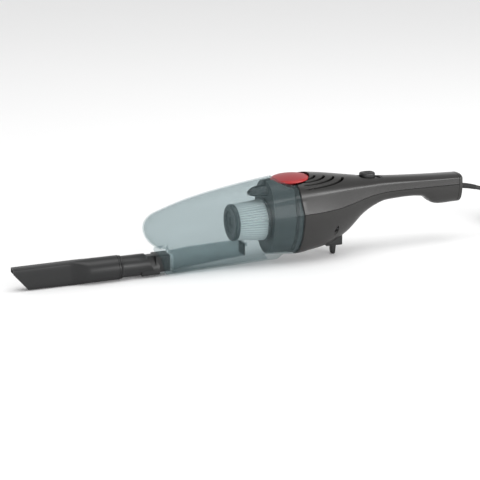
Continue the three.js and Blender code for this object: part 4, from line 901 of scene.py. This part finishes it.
# nodes that fold a tapering tube in and out by turns
def pleatTree(name, material):
    graph, ids, take = newTree(name, ("frontRadius", "rearRadius", "length", "foldDepth", "folds", "middle"),
                               folds="Int", middle="Vector")
    cone = graph.node("GeometryNodeMeshCone", {"fill_type": "NGON"}, {
        "Vertices": take["folds"] * 2.0, "Side Segments": 1, "Fill Segments": 1,
        "Radius Top": take["frontRadius"], "Radius Bottom": take["rearRadius"], "Depth": take["length"]})
    odd = graph.node("ShaderNodeMath", {"operation": "MODULO"}, {
        0: graph.node("GeometryNodeInputIndex"), 1: 2.0})
    where = graph.node("GeometryNodeInputPosition")
    flat = graph.node("ShaderNodeVectorMath", {"operation": "MULTIPLY"}, {0: where, 1: (1, 1, 0)})
    inward = graph.node("ShaderNodeVectorMath", {"operation": "NORMALIZE"}, {0: flat})
    shift = graph.node("ShaderNodeVectorMath", {"operation": "SCALE"}, {
        0: inward, "Scale": odd * take["foldDepth"] * -1.0})
    folded = graph.node("GeometryNodeSetPosition", None, {"Geometry": cone, "Offset": shift})
    turnedOver = graph.node("GeometryNodeTransform", None, {
        "Geometry": folded, "Rotation": (0, math.radians(-90), 0), "Translation": take["middle"]})
    return endTree(graph, turnedOver, material), ids


def grown(name, start, tree, ids, sizes):
    made = linked(bpy.data.objects.new(name, start))
    step = made.modifiers.new("nodes", "NODES")
    step.node_group = tree
    for label, value in sizes.items():
        step[ids[label]] = value
    return settled(made)


pleatNodes, pleatIds = pleatTree("pleatFolds", looks["filter_paper"])
pleats = grown("filterPleats", bpy.data.meshes.new("filterPleats"), pleatNodes, pleatIds, {
    "frontRadius": filterPlan["capRadius"] / 1000 - 0.0004,
    "rearRadius": filterPlan["baseRadius"] / 1000 - 0.0003,
    "length": (flangeFront - pleatFront - 0.6) / 1000,
    "foldDepth": pleatPlan["fold"] / 1000, "folds": pleatPlan["pleats"],
    "middle": tuple(place(flangeFront - 0.3, 0, pleatPlan["axis"]))})
faceOutward(pleats)
worked(pleats, "DIFFERENCE", rod(
    "core", flangeFront + 5, pleatFront - 5, filterPlan["coreRadius"] + 0.4, pleatPlan["axis"]))
dress(pleats, "filter_paper", "filter", "filter_pleats", sharp=5)


def makeFilterCap():
    r = filterPlan["capRadius"]
    face = fromX(pleatFront - filterPlan["capDepth"], [
        (4.2, 0), (4.2, 0.3 * r), (2.6, 0.34 * r), (2.6, 0.6 * r), (2.2, 0.64 * r), (0.4, 0.68 * r),
        (0, 0.71 * r), (0, r - 1.8), (0.3, r - 0.9), (0.9, r - 0.3), (1.8, r)])
    back = fromX(pleatFront, [(-0.4, r), (0, r - 0.4), (0, 0)])
    return turned("filterCap", face + back, pleatPlan["axis"])


dress(makeFilterCap(), "cap_grey", "filter", "filter_front_cap")


def makeFilterFrame():
    core, flange = filterPlan["coreRadius"], filterPlan["baseRadius"] + 1
    bore, start = core - filterPlan["frameWall"], pleatFront + 2
    rear = fromX(holder["plate"], [(7, bore), (7, core), (-2, core), (-2, flange - 0.4), (-2.4, flange)])
    front = fromX(flangeFront, [(0.4, flange), (0, flange - 0.4), (0, core - 0.6)])
    shell = turned("filterFrame", rear + front + [(start, core - 0.6), (start, bore)], pleatPlan["axis"])
    middle, (long, half) = (start + flangeFront) / 2, filterPlan["window"]
    for angle in (0, 60, 120):
        bar = boxOf("window", middle - long / 2, middle + long / 2, -40, 40, -half, half)
        turnBy = Matrix.Rotation(math.radians(angle), 4, "X")
        bar.data.transform(Matrix.Translation((0, 0, pleatPlan["axis"] / 1000)) @ turnBy)
        worked(shell, "DIFFERENCE", bar)
    return shell


dress(makeFilterFrame(), "holder_grey", "filter", "filter_frame")
print("filter made")


# ---- release button
def makeButton():
    r, stem, rimTop, steps = button["radius"], button["stem"], button["rimHeight"], 14
    outline = [(0, -stem), (stem, -stem), (stem, 0), (r - 1.2, 0), (r - 0.35, 0.3), (r, 1.0),
               (r, rimTop - 1.2), (r - 0.3, rimTop - 0.4), (r - 1.0, rimTop)]
    for i in range(steps, -1, -1):
        radius = (r - 2.0) * i / steps
        outline.append((radius, rimTop + 0.15 + button["crown"] * (1 - (radius / r) ** 2)))
    made = standing("releaseButton", outline, -seamX, 0, 96)
    made.data.transform(Matrix.Rotation(-math.atan(button["tilt"]), 4, "Y"))
    made.data.transform(Matrix.Translation(place(button["centre"], 0, button["rimBase"])))
    return made


dress(makeButton(), "button_red", "button", "release_button", sharp=28)
print("button made")


# ---- housing shells with the air slots
vents = {"count": 4, "width": 2.4, "startX": 24, "stepX": 15, "startY": 11.5, "stepY": 3.7, "swell": 0.75}
switchPlan = {"centre": 119, "length": 24, "width": 18, "rise": 5.6, "travel": 5, "margin": 5}
bezelFrom = switchPlan["centre"] - switchPlan["length"] / 2 - switchPlan["margin"]
bezelTo = switchPlan["centre"] + switchPlan["length"] / 2 + switchPlan["margin"] + switchPlan["travel"]
bezelHalfWidth = switchPlan["width"] / 2 + 2.2


def ventCutter(index, side):
    reachX = vents["startX"] + vents["stepX"] * index
    reachY = vents["startY"] + vents["stepY"] * index
    edge = []
    for offset, order in ((vents["width"] / 2, 1), (-vents["width"] / 2, -1)):
        row = []
        for i in range(19):
            angle = i / 18 * math.pi / 2 * 0.97
            thick = offset * (1 + vents["swell"] * i / 18)
            if i in (0, 18):
                thick *= 0.55
            row.append((4 + (reachX + thick) * math.sin(angle), 11 + (reachY + thick) * math.cos(angle)))
        edge += row[::order]
    return prism("vent", *([place(x, side * y, z) for x, y in edge] for z in (90, 150)))


def bezelForm(name, extra):
    section = roundedBox(bezelHalfWidth + extra, bezelFrom - extra, bezelTo + extra, 5 + extra, 8)
    return stacked(name, section, (80, 140))


shells = {"seamGap": 1.3, "partingGap": 0.7, "seatRadius": 3.5}


def housingShell(name):
    shell = worked(housingForm(name, 0, -20, housingLength), "INTERSECT",
                   besideSeam("rear", shells["seamGap"], 400))
    return worked(shell, "DIFFERENCE", housingForm("hollow", body["housingWall"], -30, housingLength + 20))


def makeUpperHousing():
    shell = worked(housingShell("upperHousing"), "INTERSECT", aboveParting("upper", shells["partingGap"] / 2))
    cutters = [ventCutter(i, side) for i in range(vents["count"]) for side in (-1, 1)]
    pocket = upright("pocket", button["centre"], 0, 96, 150, wellRadius)
    return worked(shell, "DIFFERENCE", *cutters, pocket, bezelForm("opening", 0.3))


screwPlaces = [(0.68 * bay, 30), (0.68 * bay, -30), (onHandle(0.22), 0), (onHandle(0.6), 0)]


def makeLowerHousing():
    shell = housingShell("lowerHousing")
    worked(shell, "DIFFERENCE", aboveParting("lower", -shells["partingGap"] / 2))
    seats = [upright("seat", x, y, -10, 100 if x > bay else 60, shells["seatRadius"], 32)
             for x, y in screwPlaces]
    return worked(shell, "DIFFERENCE", *seats)


dress(makeUpperHousing(), "housing_grey", "root", "upper_housing", sharp=9)
dress(makeLowerHousing(), "housing_grey", "root", "lower_housing", sharp=9)
print("housing made")

# ---- coil spring under the button, made at one length; the real one shortens as the button goes down
spring = {"radius": 4.2, "wire": 0.45, "turns": 5, "bottom": 102.35, "top": 109.1, "steps": 160}


def makeSpring():
    wire, low, high = spring["wire"], spring["bottom"] + spring["wire"], spring["top"] - spring["wire"]
    loops = []
    for i in range(spring["steps"] + 1):
        share = i / spring["steps"]
        angle = 2 * math.pi * spring["turns"] * share
        outward = Vector((math.cos(angle), math.sin(angle), 0))
        rise = blended(low, high, smoothStep(share, 0.1, 0.9))
        here = Vector((button["centre"], 0, rise)) + outward * (spring["radius"] - wire)
        loops.append([place(*(here + outward * wire * math.cos(a) + Vector((0, 0, wire * math.sin(a)))))
                      for a in (2 * math.pi * j / 10 for j in range(10))])
    return skinned("buttonSpring", loops)


buttonSpring = dress(makeSpring(), "steel", "root", "button_spring", sharp=40)
tuple(place(button["centre"], 0, spring["bottom"]))
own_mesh(buttonSpring)

# ---- black ring under the gap between cup and housing: painted shade, a dark piece that stands in for the shade in the seam
seamShadeRing = {"inset": 0.9, "start": 0.2, "end": 3.2}


def makeSeamShadeRing():
    inset, hollow = seamShadeRing["inset"], seamShadeRing["inset"] + 1.4
    made = skinned("seamShadeRing", [loopAt(x, bodySection(0, inset)) for x in (-14, 8)])
    worked(made, "INTERSECT", besideSeam("slice", seamShadeRing["start"], 400))
    worked(made, "DIFFERENCE", besideSeam("slice", seamShadeRing["end"], 400),
           skinned("hollow", [loopAt(x, bodySection(0, hollow)) for x in (-30, 30)]),
           upright("well", button["centre"], 0, 90, 160, button["radius"] + 0.9))
    return made


# painted shade: this black ring, seen through the widened seam gap, makes the seam show as a dark line
dress(makeSeamShadeRing(), "soft_rubber", "root", sharp=30)

# ---- switch and its surround
switchTop = topLine(switchPlan["centre"])


def makeBezel():
    floor = switchTop - 7
    made = worked(bezelForm("switchBezel", 0), "INTERSECT", housingForm("skin", 0.25, 40, onHandle(0.4)))
    low = boxOf("low", 0, 300, -60, 60, 0, floor)
    rim = switchPlan["margin"] / 2
    section = roundedBox(switchPlan["width"] / 2 + 0.6, bezelFrom + rim, bezelTo - rim, 4, 8)
    dish = stacked("dish", section, (floor + 2.5, 160))
    slot = boxOf("slot", switchPlan["centre"] - 3, switchPlan["centre"] + 3 + switchPlan["travel"],
                 -2.6, 2.6, 60, 140)
    return bevelled(worked(made, "DIFFERENCE", low, dish, slot), 0.35, 2, 50)


def makeSwitchCap():
    half, long, centre = switchPlan["width"] / 2 - 0.4, switchPlan["length"] / 2 - 0.4, switchPlan["centre"]
    top, bottom = switchTop + switchPlan["rise"], switchTop - 4.2
    levels = [(bottom, 0), (top - 3, 0), (top - 1.9, 0.15), (top - 1.1, 0.5), (top - 0.5, 1.1),
              (top - 0.15, 1.9), (top, 2.8)]
    cap = skinned("switchCap", [[place(x, y, z) for y, x in superOval(half - d, long - d, centre, 0.72, 64)]
                                for z, d in levels])
    stem = boxOf("stem", centre - 2, centre + 2, -1.8, 1.8, switchTop - 11, bottom + 1)
    thumb = standing("thumb", [(0, top - 1.7)] + [(30 * math.sin(a), top + 28.3 - 30 * math.cos(a))
                     for a in (0.05 * i for i in range(1, 9))] + [(0, top + 5)], -seamX, 0, 64)
    thumb.data.transform(Matrix.Diagonal((0.8, 0.5, 1, 1)))
    thumb.data.transform(Matrix.Translation(place(centre, 0, 0)))
    return bevelled(worked(worked(cap, "UNION", stem), "DIFFERENCE", thumb), 0.3, 2, 35)


dress(makeBezel(), "nozzle_black", "root", "switch_bezel", sharp=25)
dress(makeSwitchCap(), "nozzle_black", "switch", "switch_cap", sharp=30)

# ---- end cap and hook for the cord
endCap = {"start": housingLength + 0.5, "end": housingLength + 6.8, "holeRadius": 4.9}


def makeEndCap():
    outer = bodySection(housingLength)
    middle = (topLine(housingLength) + bottomLine(housingLength)) / 2

    def shrunk(shareY, shareZ):
        return [(y * shareY, middle + (z - middle) * shareZ) for y, z in outer]
    a, b = endCap["start"], endCap["end"]
    made = skinned("endCap", [loopAt(x, shrunk(w, h)) for x, w, h in (
        (a, 0.975, 0.985), (a + 0.5, 1, 1), (b - 2.6, 1, 1), (b - 1.5, 0.985, 0.992), (b - 0.7, 0.955, 0.975),
        (b - 0.2, 0.915, 0.955), (b, 0.87, 0.93))])
    return worked(made, "DIFFERENCE", rod("hole", a - 5, b + 5, endCap["holeRadius"], cord["exitZ"], 48))


hook = {"front": 50, "length": 26, "halfWidth": 11, "flat": 15, "prongHalfWidth": 3.5}


def makeHook():
    front, rear, flat = hook["front"], hook["front"] + hook["length"], hook["flat"]
    made = boxOf("cordHook", front, rear, -hook["halfWidth"], hook["halfWidth"], flat, 36)
    bevelled(made, 1.2, 3)
    prong = sidePlate("prong", fromX(front, [
        (10, flat + 6), (11.6, 6), (12.2, 2.4), (12.8, 0.9), (13.8, 0.15), (15, 0), (16.4, 0.1), (17.6, 0.7),
        (18.3, 2.2), (19, 10), (20.5, flat + 6)]), hook["prongHalfWidth"])
    bevelled(prong, 0.9, 3, 40)
    worked(made, "UNION", prong)
    return worked(made, "DIFFERENCE", housingForm("underside", -0.2, -5, handleStart))


dress(makeEndCap(), "housing_grey", "root", "handle_end_cap", sharp=20)
dress(makeHook(), "nozzle_black", "root", "cord_hook", sharp=30)
print("switch, end cap and hook made")

# ---- adapter and nozzle
neckFront = mouthFront - inlet["neckLength"]
socketRim = neckFront - inlet["tubeLength"]
tubeEnd = socketRim - inlet["socketDepth"]


def makeAdapter():
    axis, r = inlet["axis"], inlet["tubeRadius"]
    tip = fromX(tubeEnd, [(0, 0), (0, r - 0.8), (0.8, r)])
    collar = fromX(socketRim, [(0.6, r), (0.8, r + 0.8), (1.3, r + 1.0), (2.8, r + 1.0), (3.5, r + 0.1), (4, r)])
    tube = turned("nozzleAdapter", tip + collar + fromX(neckFront, [(9, r), (9, 0)]), axis, 96)
    slant = [(-4, 40), (9.5, 10), (9.5, -10), (20, -10), (20, 40)]
    worked(tube, "DIFFERENCE", sidePlate("slant", fromX(neckFront, slant), 30))
    w, low, high = inlet["neckHalfWidth"], inlet["neckBottom"], inlet["neckTop"]
    roof = [(w, low), (w, low + 11), (6, high), (-6, high), (-w, low + 11), (-w, low)]
    neck = skinned("neck", [loopAt(x, roof) for x in (neckFront - 8, mouthFront - 0.3)])
    neckEnd = sidePlate("neckEnd", [
        (mouthFront - 0.3, 60), (mouthFront - 0.3, spigotTop + 1.5), (mouthFront - 0.3 + inlet["mouthSlant"],
        inlet["keelBottom"]), (mouthFront + 60, inlet["keelBottom"]), (mouthFront + 60, 60)], 30)
    worked(neck, "DIFFERENCE", neckEnd)
    bevelled(neck, 0.8, 3)
    spigot = skinned("spigot", [loopAt(x, spigotSection(0)) for x in (
        mouthFront - 6, mouthFront + inlet["spigotLength"])])
    bevelled(spigot, 0.4, 2, 60)
    tongue = boxOf("tongue", mouthFront - 12, mouthFront - 2, -5, 5, 1.2, low + 1)
    bevelled(tongue, 0.6, 2)
    worked(tube, "UNION", neck, spigot, tongue)
    bore = rod("bore", tubeEnd - 5, neckFront - 2, r - inlet["tubeWall"], axis, 96)
    passage = skinned("passage", [loopAt(x, roundedBox(w - 5, low + 5, high - 6, 2)) for x in (
        neckFront - 6, mouthFront + inlet["spigotLength"] + 5)])
    return worked(tube, "DIFFERENCE", bore, passage)


nozzle = {"length": 149, "socketRadius": 17, "wall": 1.4, "thickness": 16, "height": 31.5, "slant": 20,
          "brow": 7.5, "shoulderStart": 42, "shoulderEnd": 72}


def nozzleForm(name, wall, start, end, boreRadius, first=()):
    shoulder = stationsBetween(socketRim - nozzle["shoulderStart"], socketRim - nozzle["shoulderEnd"], 16)
    loops = [loopAt(x, superOval(r, r, inlet["axis"], 1, 72)) for x, r in first]
    for x in [start] + shoulder + stationsBetween(shoulder[-1], end, 6)[1:]:
        share = smoothStep(x, socketRim - nozzle["shoulderEnd"], socketRim - nozzle["shoulderStart"])
        slope = min(1, max(0, (socketRim - x) / nozzle["length"]))
        blade = nozzle["height"] / 2 + 1.6 * (1 - slope) - wall
        loops.append(loopAt(x, superOval(
            blended(nozzle["thickness"] / 2 - wall, boreRadius, share), blended(blade, boreRadius, share),
            inlet["axis"], blended(0.35, 1, share), 72)))
    return skinned(name, loops)


def makeNozzle():
    axis, tip, r = inlet["axis"], socketRim - nozzle["length"], nozzle["socketRadius"]
    made = nozzleForm("creviceNozzle", 0, socketRim - 3.2, tip, r, fromX(socketRim, [
        (0, r - 0.5), (-0.4, r - 0.1), (-0.8, r), (-2.2, r), (-2.6, r - 0.55), (-3.2, r - 0.55)]))
    hollow = nozzleForm("hollow", nozzle["wall"], socketRim - 25, tip - 5, r - nozzle["wall"] - 2)
    socket = rod("socket", socketRim - inlet["socketDepth"] - 1, socketRim + 5, r - nozzle["wall"], axis, 96)
    half, slant, brow = nozzle["height"] / 2, nozzle["slant"], nozzle["brow"]
    mouthCut = sidePlate("mouthCut", fromX(tip, [
        (-10, -20), (slant + 4, -20), (slant, axis - half), (0, axis + half - brow),
        (-10, axis + half - brow)]), 40)
    return worked(made, "DIFFERENCE", hollow, socket, mouthCut)


dress(makeAdapter(), "nozzle_black", "adapter", "nozzle_adapter", sharp=28)
dress(makeNozzle(), "nozzle_black", "nozzle", "crevice_nozzle", sharp=28)
print("adapter and nozzle made")

# ---- screws, grown by nodes at their places
screwPlan = {"headHeight": 2.1, "shankShare": 0.56, "slotWidth": 0.9, "slotDepth": 1.1}


# nodes that make one cross-headed screw, head down, point up
def screwTree(name, material):
    graph, ids, take = newTree(name, ("headRadius", "headHeight", "shankRadius", "shankLength", "slotWidth",
                                      "slotDepth", "seat"), seat="Vector")

    def pillar(lowRadius, highRadius, height, low, sides):
        cone = graph.node("GeometryNodeMeshCone", {"fill_type": "NGON"}, {
            "Vertices": sides, "Side Segments": 1, "Fill Segments": 1, "Radius Top": highRadius,
            "Radius Bottom": lowRadius, "Depth": height})
        return graph.node("GeometryNodeTransform", None, {
            "Geometry": cone, "Translation": graph.node("ShaderNodeCombineXYZ", None, {"Z": low})})

    def slot(x, y):
        size = graph.node("ShaderNodeCombineXYZ", None, {"X": x, "Y": y, "Z": take["slotDepth"] * 2.0})
        return graph.node("GeometryNodeMeshCube", None, {"Size": size})

    def solids(operation, *parts):
        made = graph.node("GeometryNodeMeshBoolean", {"operation": operation, "solver": "MANIFOLD"})
        for part in parts:
            graph.tree.links.new(part.socket, made.socket.node.inputs["Mesh 2"])
        return made
    rim = pillar(take["headRadius"] * 0.8, take["headRadius"], take["headHeight"] * 0.4, 0.0, 40)
    head = pillar(take["headRadius"], take["headRadius"], take["headHeight"] * 0.6, take["headHeight"] * 0.4,
                  40)
    shank = pillar(take["shankRadius"], take["shankRadius"] * 0.7, take["shankLength"],
                   take["headHeight"] * 0.9, 24)
    reach = take["headRadius"] * 1.15
    cross = solids("UNION", slot(reach, take["slotWidth"]), slot(take["slotWidth"], reach))
    cut = solids("DIFFERENCE", cross)
    graph.feed(cut.socket.node.inputs["Mesh 1"], solids("UNION", rim, head, shank))
    moved = graph.node("GeometryNodeTransform", None, {"Geometry": cut, "Translation": take["seat"]})
    return endTree(graph, moved, material), ids


screwNodes, screwIds = screwTree("screwShape", looks["dark_steel"])
for nodeName in [f"housing_screw_{i}" for i in range(1, 5)] + ["clamp_screw_near", "clamp_screw_far"]:
    low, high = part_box(nodeName)
    middle = [(a + b) / 2 for a, b in zip(low, high)]
    radius = (high[0] - low[0]) / 2
    screw = grown(nodeName + "Screw", bpy.data.meshes.new(nodeName), screwNodes, screwIds, {
        "headRadius": radius, "headHeight": screwPlan["headHeight"] / 1000,
        "shankRadius": radius * screwPlan["shankShare"],
        "shankLength": high[2] - low[2] - screwPlan["headHeight"] / 1000,
        "slotWidth": screwPlan["slotWidth"] / 1000, "slotDepth": screwPlan["slotDepth"] / 1000,
        "seat": (middle[0], middle[1], low[2])})
    faceOutward(screw)
    dress(screw, slotOf[nodeName], "root", nodeName)
print("screws made")

# ---- studio
studio = {"horizon": 1.1, "zenith": 0.72, "floorTone": 0.9, "floorReach": 9.0}


def makeFloor():
    material, graph = newMaterial("paleFloor")
    cloud = graph.noise(0.8, 2.0)
    tone = graph.mixColour(cloud, shadeOf(studio["floorTone"]), shadeOf(studio["floorTone"] * 1.02))
    skin = graph.node("ShaderNodeBsdfPrincipled", None, {"Base Color": tone, "Roughness": 0.75})
    ended(material, graph, skin)
    reach = studio["floorReach"]
    corners = [(-reach, -reach, 0), (reach, -reach, 0), (reach, reach, 0), (-reach, reach, 0)]
    floor = newObject("floor", corners, [(0, 1, 2, 3)])
    floor.data.materials.append(material)


def makeLight(name, where, target, size, power):
    data = bpy.data.lights.new(name, "AREA")
    data.shape, data.size, data.size_y, data.energy = "RECTANGLE", size[0], size[1], power
    light = linked(bpy.data.objects.new(name, data))
    light.location = where
    aim = Vector(target) - Vector(where)
    light.rotation_euler = aim.to_track_quat("-Z", "Y").to_euler()


# sky that is brightest at the horizon
def makeWorld():
    world = bpy.data.worlds.new("studio")
    bpy.context.scene.world = world
    world.use_nodes = True
    graph = Graph(world.node_tree)
    way = graph.node("ShaderNodeTexCoord", output="Generated")
    rise = graph.node("ShaderNodeSeparateXYZ", None, {0: way}, "Z")
    high = graph.node("ShaderNodeMapRange", {"interpolation_type": "SMOOTHSTEP"}, {
        0: rise, 1: 0.1, 2: 0.7, 3: 0, 4: 1})
    tone = graph.mixColour(high, shadeOf(studio["horizon"]), shadeOf(studio["zenith"]))
    graph.feed(world.node_tree.nodes["Background"].inputs[0], tone)


def makeStudio():
    makeWorld()
    makeFloor()
    makeLight("overhead", (0.0, -0.4, 2.6), (0, 0, 0.05), (2.6, 1.6), 32)
    makeLight("nearSide", (1.5, -2.1, 0.62), (0.1, 0, 0.06), (2.3, 0.55), 38)
    view = bpy.context.scene.view_settings
    view.view_transform, view.look, view.exposure, view.gamma = "Standard", "None", 0.0, 1.0


makeStudio()
print("studio made")
